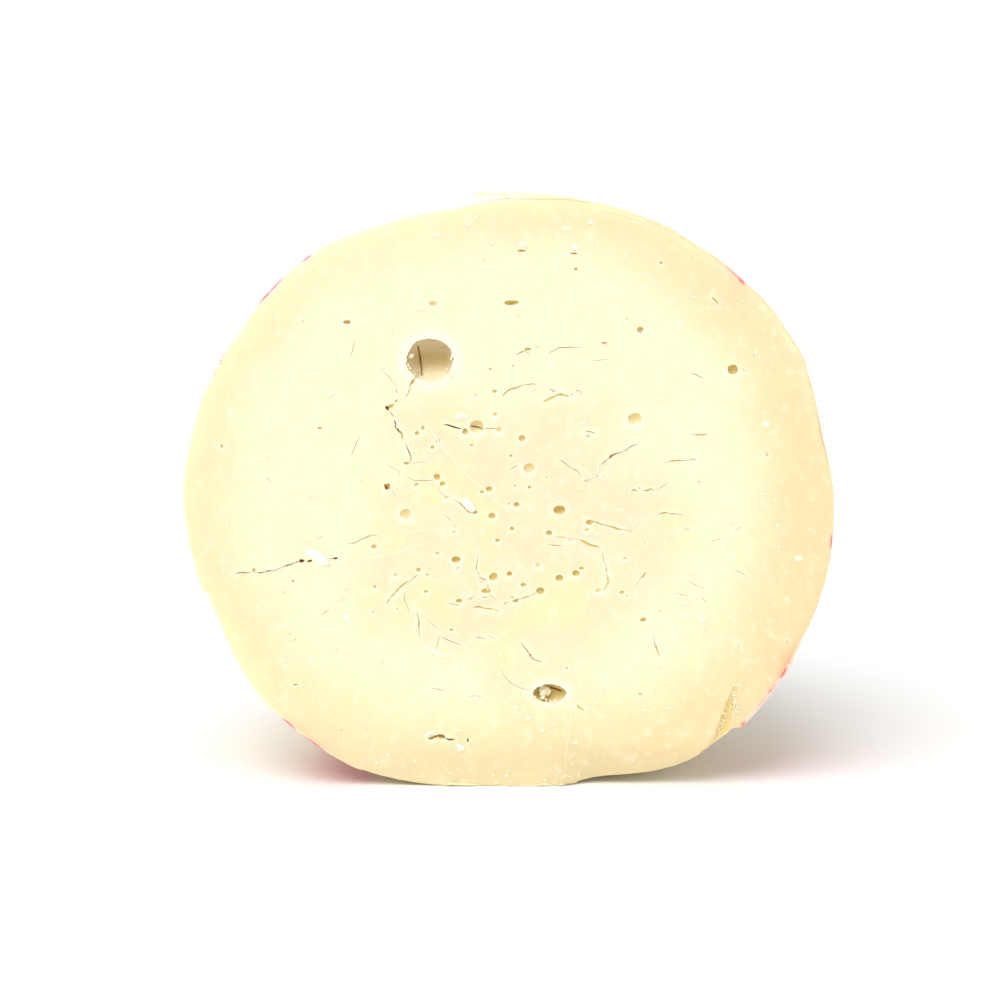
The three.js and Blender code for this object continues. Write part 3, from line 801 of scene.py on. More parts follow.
# White flakes that stand off the cut: across, above, half width, half height, tilt, how far it curls.
FLAKES = (
    (-14.2, 99.6, 3.0, 1.5, -36.0, 0.9), (-13.2, 98.2, 1.6, 1.0, -20.0, 0.7),
    (-67.0, 82.4, 3.0, 1.5, -18.0, 0.9), (-64.4, 80.8, 3.0, 1.7, -42.0, 1.3),
    (-16.4, 129.9, 2.6, 0.8, -8.0, 0.5), (-17.6, 129.2, 1.2, 0.8, 0.0, 0.4),
    (-68.0, 102.6, 2.6, 0.36, -20.0, 0.7), (-65.2, 101.8, 0.36, 1.0, 0.0, 0.6),
    (24.9, 127.3, 1.6, 0.4, 28.0, 0.4), (-56.2, 60.6, 0.9, 1.4, 24.0, 0.6),
    (-54.9, 58.8, 1.1, 0.5, -40.0, 0.5), (-17.0, 14.2, 1.7, 1.2, -30.0, 0.3),
    (-26.0, 48.4, 2.2, 0.6, -28.0, 0.5), (-23.0, 46.8, 2.0, 0.5, -12.0, 0.4),
    (-28.6, 49.6, 1.0, 0.7, 20.0, 0.5), (30.1, 111.5, 0.4, 1.2, 4.0, 0.35),
    (31.4, 108.3, 0.8, 0.3, -15.0, 0.3), (29.0, 109.3, 0.9, 0.3, 20.0, 0.3),
    (26.6, 107.3, 1.0, 0.3, 20.0, 0.3), (-10.8, 75.0, 0.7, 0.3, -30.0, 0.3),
    (-9.6, 73.1, 0.8, 0.3, -20.0, 0.3), (-13.5, 67.9, 1.6, 0.35, 4.0, 0.35),
    (-8.5, 66.6, 1.2, 0.3, -12.0, 0.3), (-20.0, 65.6, 1.2, 0.3, -8.0, 0.3),
)

# Cream lumps and scraps on the cut, in the same sizes.
LUMPS = (
    (-30.2, 165.9, 1.5, 0.5, 0.0, 0.3), (-6.9, 168.3, 1.7, 0.7, 8.0, 0.4),
    (-24.4, 190.7, 1.9, 0.8, 0.0, 0.3), (99.0, 80.9, 1.3, 1.1, 0.0, 0.4), (85.7, 103.0, 1.0, 0.4, 0.0, 0.3),
    (-60.8, 136.9, 1.3, 0.7, 20.0, 0.3), (52.0, 135.5, 1.2, 0.5, 12.0, 0.3),
    (-25.1, 171.6, 1.2, 0.8, 0.0, 0.3), (87.0, 127.0, 1.4, 1.2, 40.0, 0.4),
    (18.9, 192.9, 1.5, 0.8, 0.0, 0.3), (21.9, 186.6, 1.5, 1.1, 0.0, 0.4),
    (27.2, 195.0, 1.0, 1.0, 60.0, 0.4), (4.4, 187.4, 1.7, 1.0, 0.0, 0.5),
    (-27.6, 19.4, 2.0, 0.7, 24.0, 0.3), (-17.3, 20.6, 1.3, 0.6, 0.0, 0.3), (2.2, 28.6, 1.3, 0.9, 0.0, 0.3),
    (10.3, 36.8, 1.4, 0.9, -20.0, 0.2), (46.5, 27.7, 1.0, 0.5, 0.0, 0.3), (50.6, 27.9, 0.9, 0.4, 0.0, 0.3),
    (54.8, 28.4, 1.0, 0.4, 0.0, 0.3), (66.4, 59.4, 1.2, 1.2, 0.0, 0.3), (80.0, 48.9, 0.5, 1.7, 8.0, 0.3),
    (60.4, 65.2, 1.6, 0.6, 0.0, 0.3), (3.4, 24.8, 0.9, 0.5, 0.0, 0.3), (6.6, 24.9, 1.0, 0.8, 0.0, 0.3),
    (-55.9, 70.2, 1.0, 0.4, 24.0, 0.4), (-58.2, 66.6, 2.4, 0.5, 16.0, 0.5),
    (27.8, 108.9, 1.1, 0.5, 20.0, 0.4), (24.4, 104.6, 1.4, 0.4, -12.0, 0.3),
)

# Crumbs gathered at torn places: across, above, spread across, spread up, how many, largest half size.
CRUMB_HEAPS = (
    (-20.0, 143.6, 1.2, 1.2, 9, 0.5), (-26.0, 141.4, 2.4, 0.5, 10, 0.4), (-19.2, 150.0, 0.4, 1.6, 8, 0.5),
    (-34.6, 145.8, 0.4, 1.8, 10, 0.4), (9.0, 31.8, 1.2, 0.8, 12, 0.5), (16.6, 30.9, 1.8, 0.4, 12, 0.4),
    (78.0, 30.0, 0.8, 5.0, 46, 0.42), (73.2, 26.0, 0.9, 5.5, 30, 0.34), (79.4, 36.4, 1.3, 1.0, 14, 0.40),
    (-16.3, 14.0, 1.6, 1.3, 26, 0.34), (12.6, 30.4, 3.0, 0.4, 16, 0.34), (-69.0, 87.0, 2.6, 1.0, 16, 0.30),
    (83.0, 168.5, 3.8, 3.4, 30, 0.34), (26.0, 107.4, 3.6, 1.2, 26, 0.32), (28.6, 110.4, 1.4, 3.2, 18, 0.30),
    (50.8, 51.0, 1.6, 4.5, 22, 0.30), (-10.0, 66.0, 3.6, 1.6, 28, 0.30), (98.6, 150.0, 1.0, 3.2, 22, 0.30),
    (19.6, 3.6, 3.4, 0.7, 26, 0.36), (16.0, 138.8, 4.0, 0.8, 16, 0.28), (-62.0, 60.0, 5.0, 5.0, 22, 0.34),
)

# Red specks that the knife dragged off the rind: across, above, half size.
RED_SPECKS = (
    (-74.2, 73.0, 0.42), (-77.3, 69.1, 0.26), (-70.8, 69.1, 0.22), (-58.8, 71.2, 0.22), (-77.8, 56.2, 0.20),
    (-75.4, 54.5, 0.24), (-73.7, 52.4, 0.26), (-75.5, 74.7, 0.18), (-58.2, 20.7, 0.30), (-49.2, 21.0, 0.20),
    (-77.0, 70.9, 0.16), (-74.9, 52.2, 0.16), (-93.6, 154.7, 0.18), (-94.3, 153.9, 0.18),
    (-95.7, 151.6, 0.20), (-96.2, 150.8, 0.26), (-96.6, 150.1, 0.26), (-97.0, 149.6, 0.19),
    (-97.1, 148.6, 0.32), (-97.5, 147.6, 0.30), (-97.8, 148.4, 0.22), (-98.3, 146.0, 0.18),
    (-98.6, 145.2, 0.17), (-99.0, 144.4, 0.18), (-99.4, 144.3, 0.20), (-99.6, 143.8, 0.23),
)


# ---- The cut face ------------------------------------------------------------------------


@dataclass(frozen=True)
class CutFace:
    """Relief of the cut: slow waves, knife lines, swollen lips, and the bevels at its foot."""

    form: CheeseForm
    radius: float = 107.0
    wave: float = 0.35
    waves: Layers = ((0.16, 26.0, 21), (0.07, 9.0, 22))
    drag_rise: float = 0.03
    knife_step: float = 0.045
    # Height of the ring round an eye, and the mean half size past which an eye has one.
    lip_rise: float = 0.14
    lip_size: float = 1.5
    rim_fall: float = 0.45
    foot_height: float = 21.0
    foot_fall: float = 2.6
    # Left end (x, z) and right end (x, z) of the line under which the bevel falls away.
    bevel_line: tuple[float, float, float, float] = (17.0, 15.5, 68.0, 13.9)
    bevel_slope: float = 0.24
    # Top (x, z) and foot (x, z) of the crease, and the height of the ridges beside it.
    crease: tuple[float, float, float, float] = (77.3, 34.8, 72.6, 19.5)
    crease_rise: float = 0.5

    def inside(self, x: Array, z: Array) -> Array:
        """Distance in from the rim."""
        degrees, distance = self.form.polar(x, z)
        return self.form.rim_radius(degrees) - distance

    def height(self, x: Array, z: Array) -> Array:
        """How far the cut stands out from its plane.

        It is the sum of a product of two slow sines, three sizes of noise, a step along each knife
        line, a low ring round each larger eye, a ridge on both sides of the crease, less a fall at
        the rim, at the foot and over the bevel at the lower right.

        Args:
            x: Places across.
            z: Places above the floor.

        Returns:
            Distances out of the plane.
        """
        inside = self.inside(x, z)
        share = np.clip(1.0 - inside / self.radius, 0.0, 1.0)
        height = self.wave * np.sin(x / 17.0 + 0.6) * np.cos(z / 23.0 - x / 61.0) * (1.0 - share**6)
        height += layered(in_plane(x, z), self.waves)
        height += self.drag_rise * flat_noise(x, z * 0.6, 2.8, 23)
        for *line, _ in KNIFE_LINES:
            line_x = line_across(z, *line)
            _, top_z, _, foot_z = line
            fade = smooth(z, foot_z - 4.0, foot_z + 2.0) * (1.0 - smooth(z, top_z - 2.0, top_z + 4.0))
            height += fade * self.knife_step * np.tanh((x - line_x) / 0.9) * bell(x - line_x, 9.0)
        for eye in EYES:
            if eye.mean > self.lip_size:
                height += self.lip_rise * bell((eye.away(x, z) - 1.05) * eye.mean, 1.3)
        line_x = line_across(z, *self.crease)
        _, top_z, _, foot_z = self.crease
        beside = smooth(z, foot_z - 8.0, foot_z) * (1.0 - smooth(z, top_z - 5.0, top_z + 2.0))
        spread = 1.2 + 0.10 * (top_z - z)
        ridges = bell(x - line_x - spread, 1.3) + 0.7 * bell(x - line_x + spread, 1.5)
        height += beside * self.crease_rise * ridges
        height -= self.rim_fall * np.exp(-np.clip(inside, 0.0, None) / 1.8)
        height -= self.foot_fall * smooth(z, self.foot_height, 0.0) ** 1.5
        left, left_z, right, right_z = self.bevel_line
        level = left_z + (right_z - left_z) * (x - left) / (right - left)
        below = level + 0.9 * flat_noise(x, z, 14.0, 24) - z
        across = smooth(x, left, left + 14.0) * (1.0 - smooth(x, right - 2.0, right + 6.0))
        return height - self.bevel_slope * np.clip(below, 0.0, None) * across

    def surface(self, x: Array, z: Array, out: Array | float = 0.0) -> Array:
        """Points on the cut, or out in front of it by some distance, (n, 3)."""
        return np.stack([x, self.form.face_y - self.height(x, z) - out, z], axis=-1)


@dataclass(frozen=True)
class Tones:
    """Shares of each tone of the paste, at places (x, z) of the cut."""

    face: CutFace
    x: Array
    z: Array
    # Middle (x, z) of the darker star within, how far it reaches, and how uneven its edge is.
    middle: Place = (2.0, 92.0)
    star_reach: float = 49.0
    star_noise: Layers = ((9.0, 19.0, 31), (3.0, 6.0, 32))
    band_width: float = 20.0
    band_lean: float = 6.0
    band_noise: Layers = ((3.5, 16.0, 33), (1.2, 5.0, 34))
    glow_width: float = 4.2
    # How much of the painted cave shade each of the two large eyes takes.
    cave_shares: tuple[float, float] = (1.0, 0.2)

    def inner(self) -> Array:
        """Share of the darker inner paste: an uneven star about the middle of the cut.

        Returns:
            The share at each place.
        """
        x, z = self.x, self.z
        across, above = x - self.middle[0], z - self.middle[1]
        turn = np.arctan2(above, across)
        reach = self.star_reach + 5.0 * np.cos(2.0 * turn + 0.5) + 4.0 * np.cos(5.0 * turn + 1.0)
        stretch = np.where(above < 0.0, 0.80, 1.0)
        away = layered(in_plane(x, z), self.star_noise, np.hypot(across, above * stretch))
        return smooth(away, reach + 9.0, reach - 12.0)

    def rim(self) -> Array:
        """Share of the yellower paste near the rim: a band, wider and stronger at the lower right.

        Returns:
            The share at each place.
        """
        x, z = self.x, self.z
        degrees, _ = self.face.form.polar(x, z)
        lean = np.cos(np.radians(degrees - 300.0))
        width = self.band_width + self.band_lean * lean
        inside = layered(in_plane(x, z), self.band_noise, self.face.inside(x, z))
        strength = 0.80 + 0.25 * np.cos(np.radians(degrees - 320.0)) - 0.2 * about(degrees, 120.0, 22.0)
        strength -= 0.14 * about(degrees, 232.0, 26.0)
        return smooth(inside, 1.6 * width, 0.35 * width) * strength

    def glow(self) -> Array:
        """Share of the light that comes through the thin edge, on the upper left side alone.

        Returns:
            The share at each place.
        """
        x, z = self.x, self.z
        degrees, _ = self.face.form.polar(x, z)
        inside = np.clip(self.face.inside(x, z) + 0.6 * flat_noise(x, z, 7.0, 35), 0.0, None)
        duller = 0.6 * about(degrees, 184.0, 11.0) * smooth(inside, 0.7, 1.5)
        lit_side = smooth(np.cos(np.radians(degrees - 155.0)), -0.1, 0.5)
        return bell(inside, self.glow_width) * lit_side * (1.0 - duller)

    def foot(self) -> Array:
        """Share of painted shade at the foot, where the cut leans back and little light comes, and of the
        same tone beside the crease at the lower right.

        Returns:
            The share at each place.
        """
        x, z = self.x, self.z
        low = smooth(z + 3.0 * flat_noise(x, z * 2.0, 12.0, 37), 30.0, 2.0)
        low = low * (1.0 - 0.7 * smooth(x, 25.0, 50.0))
        degrees, _ = self.face.form.polar(x, z)
        beside = about(degrees, -39.0, 10.0) * bell(self.face.inside(x, z) - 4.5, 6.0)
        return np.maximum(low, 0.8 * beside)

    def lips(self) -> Array:
        """Share of the pale lips as painted highlight: round eyes and pits, paler below the small ones,
        beside cracks, and painted light where the rim is thin and lit.

        Returns:
            The share at each place.
        """
        x, z = self.x, self.z
        broken = 0.55 + 0.45 * flat_noise(x, z, 2.2, 36)
        total = np.zeros_like(x)
        for hole in EYES + PITS:
            ring = bell((hole.away(x, z) - 1.1) * hole.mean, 0.5 + 0.28 * hole.mean)
            # Painted highlight: below a small hole the lower lip catches the light.
            halo = 0.9 if hole.large else 0.55 - 0.45 * np.tanh((z - hole.z) / hole.half_height)
            total = np.maximum(total, ring * halo)
        for crack in CRACKS:
            beside = bell(away_from_line(x, z, crack.path), 0.5 + 0.9 * crack.opening)
            total = np.maximum(total, beside * broken * min(1.0, 0.45 + 0.7 * crack.opening))
        degrees, _ = self.face.form.polar(x, z)
        thin = np.clip(self.face.inside(x, z), 0.0, None)
        # Painted light where the rim is thin and lit.
        total = np.maximum(total, 0.45 * about(degrees, 125.0, 28.0) * bell(thin, 2.2))
        total = np.maximum(total, 0.35 * about(degrees, 36.0, 24.0) * bell(thin, 2.8))
        return np.clip(total, 0.0, 1.0)

    def darkness(self) -> Array:
        """Share of the darkest painted shade: at a few spots, and along the cracks in the walls of eyes.

        Returns:
            The share at each place.
        """
        x, z = self.x, self.z
        total = np.zeros_like(x)
        for spot_x, spot_z, reach in DARK_SPOTS:
            total = np.maximum(total, bell(np.hypot(x - spot_x, z - spot_z), reach))
        for opening, _, strength, *path in WALL_CRACKS:
            total = np.maximum(total, strength * bell(away_from_line(x, z, path), 0.12 + 0.26 * opening))
        return total

    def crack_shade(self) -> tuple[Array, Array]:
        """Nearness to the cracks, and the share of painted brown shade at their foot, which only the deeper
        ones have.

        Returns:
            Both, for each place.
        """
        x, z = self.x, self.z
        near, shade = np.zeros_like(x), np.zeros_like(x)
        for crack in CRACKS:
            beside = bell(away_from_line(x, z, crack.path), 0.8)
            near = np.maximum(near, beside)
            shade = np.maximum(shade, min(0.6, max(0.0, 1.4 * (crack.depth - 0.58))) * beside)
        return near, shade

    def cave(self) -> tuple[Array, Array]:
        """Share of painted shade in the two large eyes, and how far below an eye's middle, in half heights.

        Returns:
            Both, for each place.
        """
        x, z = self.x, self.z
        total, below = np.zeros_like(x), np.zeros_like(x)
        for eye, share in zip(EYES[:2], self.cave_shares):
            inside = share * smooth(eye.away(x, z), 1.3, 1.1)
            below = np.where(inside > total, (eye.z - z) / eye.half_height, below)
            total = np.maximum(total, inside)
        return total, below

    def shallow(self) -> Array:
        """How far each place lies within the mouth of a shallow eye or pit, from 0 to 1.

        Returns:
            The share at each place.
        """
        x, z = self.x, self.z
        total = np.zeros_like(x)
        for hole in EYES + PITS:
            if hole.shallow:
                total = np.maximum(total, smooth(hole.away(x, z), 1.4, 1.2))
        return total


# ---- Cutters -----------------------------------------------------------------------------


@dataclass(frozen=True)
class Hollows:
    """The forms that are cut out of the paste."""

    face: CutFace
    crack_step: float = 0.5
    crack_wander: float = 0.5
    wander_noise: Layers = ((0.36, 2.3, 0), (0.3, 0.9, 1))
    ragged_noise: Layers = ((0.55, 2.6, 2), (0.4, 0.8, 3))
    proud: float = 0.5
    # Fewest and most rings of an eye, and fewest and most points to a ring.
    eye_mesh: tuple[tuple[int, int], ...] = ((7, 30), (14, 88))
    # Where the numbering of each kind's noise starts.
    eye_seed: int = 100
    pit_seed: int = 300
    crack_seed: int = 500
    wall_seed: int = 1900
    # Width and depth of the crease, each at its top and at the rim.
    groove_widths: tuple[float, float] = (2.7, 7.2)
    groove_depths: tuple[float, float] = (0.35, 1.35)
    groove_path: tuple[Place, ...] = ((77.6, 35.4), (75.2, 27.0), (73.3, 19.5), (71.2, 10.5))

    def ball_sizes(self, eye: Eye) -> tuple[float, float, float]:
        """How far back an eye's ball reaches, how deep its middle lies, and its mouth over its width.

        Args:
            eye: The eye or pit.

        Returns:
            Two lengths in millimetres, and a share.
        """
        reach = eye.depth * eye.mean * (1.6 if eye.shallow else 0.87)
        centre = reach * (-0.35 if eye.shallow else 0.15)
        return reach, centre, math.sqrt(1.0 - (centre / reach) ** 2)

    def wall(self, eye: Eye, x: Array, z: Array) -> Array:
        """How deep under the cut the wall of an eye lies, on the same ball.

        Args:
            eye: The eye.
            x: Places across.
            z: Places above the floor.

        Returns:
            Depths under the cut.
        """
        reach, centre, mouth = self.ball_sizes(eye)
        away = eye.away(x, z) * mouth
        return centre + reach * np.sqrt(np.clip(1.0 - away**2, 0.02, 1.0))

    def eye(self, eye: Eye, seed: int, roughness: float) -> Form:
        """Ball whose mouth on the cut has the eye's half sizes.

        A shallow eye is the foot of a wider ball whose middle stands in front of the cut, a deep
        one has its middle just under it. Noise over the ball's directions makes it uneven.

        Args:
            eye: The eye or pit.
            seed: Which noise makes it uneven.
            roughness: How uneven, as a share of its size.

        Returns:
            The cutter.
        """
        finer = 1.0 + 0.55 * max(0.0, eye.mean - 1.0)
        reach, centre, mouth = self.ball_sizes(eye)
        points, triangles = ball(*(int(min(most, least * finer)) for least, most in self.eye_mesh))
        broad, fine = noise(points + 7.0 * seed, 0.9, seed), noise(points + 3.0, 0.32, seed + 50)
        uneven = 1.0 + roughness * (broad + 0.6 * fine)
        if eye.large:
            frays = ((0.035, 0.16, 60), (0.3 / eye.mean, 0.07, 61))
            uneven += bell(points[:, 1], 0.4) * layered(points, frays, seed=seed)
        sizes = np.array([eye.half_width / mouth, reach, eye.half_height / mouth])
        place = self.face.surface(np.array(eye.x), np.array(eye.z), -centre)
        points = points * uneven[:, None] * sizes + place
        return points, outward(points, triangles)

    def crack(self, crack: Crack, seed: int, eye: Eye | None = None) -> Form:
        """Wedge along a wandering path: open at the cut, sharp at its foot, steeper on one side.

        Args:
            crack: Its sizes and path.
            seed: Which noise makes it ragged.
            eye: The eye whose wall it opens in, when it isn't in the cut itself.

        Returns:
            The cutter, with five corners to a section.
        """
        lean = crack.lean
        places, share = resampled(np.array(crack.path, float), self.crack_step)
        apart = in_plane(*places.T, 5.0 * seed)
        left = leftward(places)
        wander = self.crack_wander * layered(apart, self.wander_noise, seed=seed)
        if eye is not None:
            wander *= 0.3
        ends = np.sin(np.pi * share)
        places = places + (wander * smooth(ends, 0.0, 0.3))[:, None] * left
        ragged = layered(apart, self.ragged_noise, 1.0, seed)
        taper = (0.12 + 0.88 * ends**0.7) * np.clip(ragged, 0.25, 1.7)
        half = crack.opening * taper / 2.0
        deep = 0.1 + (crack.depth - 0.1) * np.clip(taper, 0.3, 1.1)
        zero = np.zeros_like(half)
        profile = np.stack([
            np.stack([-1.12 * half, zero + self.proud], axis=1),
            np.stack([1.12 * half, zero + self.proud], axis=1),
            np.stack([(0.68 + 0.2 * lean) * half, (-0.5 - 0.2 * lean) * deep], axis=1),
            np.stack([0.7 * lean * half, -deep], axis=1),
            np.stack([(-0.68 + 0.2 * lean) * half, (-0.5 + 0.2 * lean) * deep], axis=1),
        ], axis=1)
        sunk = zero if eye is None else self.wall(eye, *places.T)
        centre = self.face.surface(*places.T, -sunk)
        return swept(centre, in_plane(*left.T), OUT_OF_CUT, profile)

    def groove(self) -> Form:
        """Deep crease at the lower right: a wedge that widens and deepens towards the rim.

        Returns:
            The cutter, with five corners to a section.
        """
        places, share = resampled(np.array(self.groove_path), 0.9)
        low, high = self.groove_widths
        half = (low + (high - low) * share**1.2) * (1.0 + 0.22 * flat_noise(*places.T, 2.0, 91)) / 2.0
        low, high = self.groove_depths
        depth = low + (high - low) * share
        across = np.array([-1.1, 1.1, 0.8, 0.25, -0.55])
        level = np.array([0.0, 0.0, -0.55, -1.0, -0.6])
        heights = level * depth[:, None] + np.where(level == 0.0, 1.2, 0.0)
        profile = np.stack([across * half[:, None], heights], axis=-1)
        return swept(self.face.surface(*places.T), in_plane(*leftward(places).T), OUT_OF_CUT, profile)

    def forms(self) -> list[Form]:
        """Every form to cut away, the largest first.

        Returns:
            Points and triangles of each.
        """
        cuts = [
            self.eye(eye, self.eye_seed + i, 0.035 if eye.large else 0.09) for i, eye in enumerate(EYES)
        ]
        cuts += [self.eye(pit, self.pit_seed + i, 0.30) for i, pit in enumerate(PITS)]
        cuts += [self.crack(crack, self.crack_seed + 3 * i) for i, crack in enumerate(CRACKS)]
        cuts += [
            self.crack(Crack(opening, 0.35 + opening, 0.0, tuple(path)), self.wall_seed + 3 * i, EYES[eye])
            for i, (opening, eye, _, *path) in enumerate(WALL_CRACKS)
        ]
        return cuts + [self.groove()]


# ---- Finishes ----------------------------------------------------------------------------


class Zone(Enum):
    """Which finish a face of the body takes, as the number of its material."""

    PASTE = 0
    RIND = 1


class Recipe:
    """Adds shader nodes to one material and joins them. Every size it is given is in millimetres."""

    def __init__(self, name: str) -> None:
        """Starts an empty material with a Principled shader.

        Args:
            name: Name of the material.
        """
        self.material = bpy.data.materials.new(name)
        self.material.use_nodes = True
        self.tree = self.material.node_tree
        self.tree.nodes.clear()
        output = self.tree.nodes.new("ShaderNodeOutputMaterial")
        self.shader = self.tree.nodes.new("ShaderNodeBsdfPrincipled")
        self.tree.links.new(self.shader.outputs["BSDF"], output.inputs["Surface"])
        self.places = self.tree.nodes.new("ShaderNodeTexCoord").outputs["Object"]

    def put(self, source: Socket | float | tuple, target: Socket) -> None:
        """Links a socket to another, or sets it to a plain value.

        Args:
            source: The socket or the plain value.
            target: Where it goes.
        """
        if isinstance(source, Socket):
            self.tree.links.new(source, target)
        else:
            target.default_value = source

    def values(self, name: str) -> Socket:
        """The numbers that a piece stores for each of its points.

        Args:
            name: The name that the piece stores them under.

        Returns:
            The socket with the result.
        """
        node = self.tree.nodes.new("ShaderNodeAttribute")
        node.attribute_name = name
        return node.outputs["Fac"]

    def grain(self, size: float, detail: float = 3.0, squeeze: Triple = (1.0, 1.0, 1.0)) -> Socket:
        """Noise from 0 to 1.

        Args:
            size: How broad its features are.
            detail: How many finer layers it has.
            squeeze: Along X, Y and Z, below 1 where the features are drawn out.

        Returns:
            The socket with the result.
        """
        mapping = self.tree.nodes.new("ShaderNodeMapping")
        mapping.inputs["Scale"].default_value = squeeze
        self.put(self.places, mapping.inputs["Vector"])
        node = self.tree.nodes.new("ShaderNodeTexNoise")
        node.inputs["Scale"].default_value = 1.0 / (size * MM)
        node.inputs["Detail"].default_value = detail
        node.inputs["Roughness"].default_value = 0.55
        self.put(mapping.outputs["Vector"], node.inputs["Vector"])
        return node.outputs["Fac"]

    def ranged(self, source: Socket, low: float, high: float, start: float, end: float) -> Socket:
        """Moves a source from one range onto another by smoothstep, and holds it there.

        Args:
            source: The socket to move.
            low: Where it starts.
            high: Where it ends.
            start: What low becomes.
            end: What high becomes.

        Returns:
            The socket with the result.
        """
        node = self.tree.nodes.new("ShaderNodeMapRange")
        node.interpolation_type = "SMOOTHSTEP"
        for name, value in (("From Min", low), ("From Max", high), ("To Min", start), ("To Max", end)):
            node.inputs[name].default_value = value
        self.put(source, node.inputs["Value"])
        return node.outputs["Result"]

    def product(self, a: Socket | float, b: Socket | float) -> Socket:
        """Two numbers multiplied.

        Args:
            a: The first, a socket or a value.
            b: The second.

        Returns:
            The socket with the result.
        """
        node = self.tree.nodes.new("ShaderNodeMath")
        node.operation = "MULTIPLY"
        self.put(a, node.inputs[0])
        self.put(b, node.inputs[1])
        return node.outputs[0]

    def mixed(self, share: Socket, a: Socket | Colour, b: Socket | Colour) -> Socket:
        """Two colours mixed.

        Args:
            share: How much of b, from 0 to 1.
            a: The colour where there is none of b.
            b: The colour where share is 1.

        Returns:
            The socket with the colour.
        """
        node = self.tree.nodes.new("ShaderNodeMix")
        node.data_type = "RGBA"
        self.put(share, node.inputs[0])
        for value, socket in ((a, node.inputs[6]), (b, node.inputs[7])):
            self.put(value if isinstance(value, Socket) else (*value, 1.0), socket)
        return node.outputs[2]

    def veiled(self, colour: Socket, veils: tuple[tuple, ...]) -> Socket:
        """Lays colours over a colour one after the other, each where its source is high.

        Args:
            colour: What they lie on.
            veils: Source, where it starts, where it is full, its share there and its colour, for each.

        Returns:
            The socket with the colour.
        """
        for source, low, high, share, tone in veils:
            colour = self.mixed(self.ranged(source, low, high, 0.0, share), colour, tone)
        return colour

    def covered(self, colour: Socket, tones: dict[str, Colour]) -> Socket:
        """Lays colours over a colour, each by the numbers that the piece stores under a name.

        Args:
            colour: What they lie on.
            tones: The colour for each name.

        Returns:
            The socket with the colour.
        """
        for name, tone in tones.items():
            colour = self.mixed(self.values(name), colour, tone)
        return colour

    def paint(self, colour: Socket, roughness: Socket | float) -> None:
        """Gives the shader its colour and its roughness."""
        self.put(colour, self.shader.inputs["Base Color"])
        self.put(roughness, self.shader.inputs["Roughness"])

    def bumps(self, layers: list[tuple[Socket, float]]) -> None:
        """Stacks bumps on the shader's normal.

        Args:
            layers: Source and height of each.
        """
        normal = None
        for source, height in layers:
            node = self.tree.nodes.new("ShaderNodeBump")
            node.inputs["Strength"].default_value = 1.0
            node.inputs["Distance"].default_value = height * MM
            self.put(source, node.inputs["Height"])
            if normal is not None:
                self.put(normal, node.inputs["Normal"])
            normal = node.outputs["Normal"]
        self.put(normal, self.shader.inputs["Normal"])

    def soft(self, weight: float, reach: Triple) -> None:
        """Light that spreads under the surface.

        Args:
            weight: How much of it.
            reach: How far red, green and blue go.
        """
        self.shader.subsurface_method = "RANDOM_WALK"
        self.shader.inputs["Subsurface Weight"].default_value = weight
        self.shader.inputs["Subsurface Scale"].default_value = MM
        self.shader.inputs["Subsurface Radius"].default_value = reach
        self.shader.inputs["Subsurface Anisotropy"].default_value = 0.3


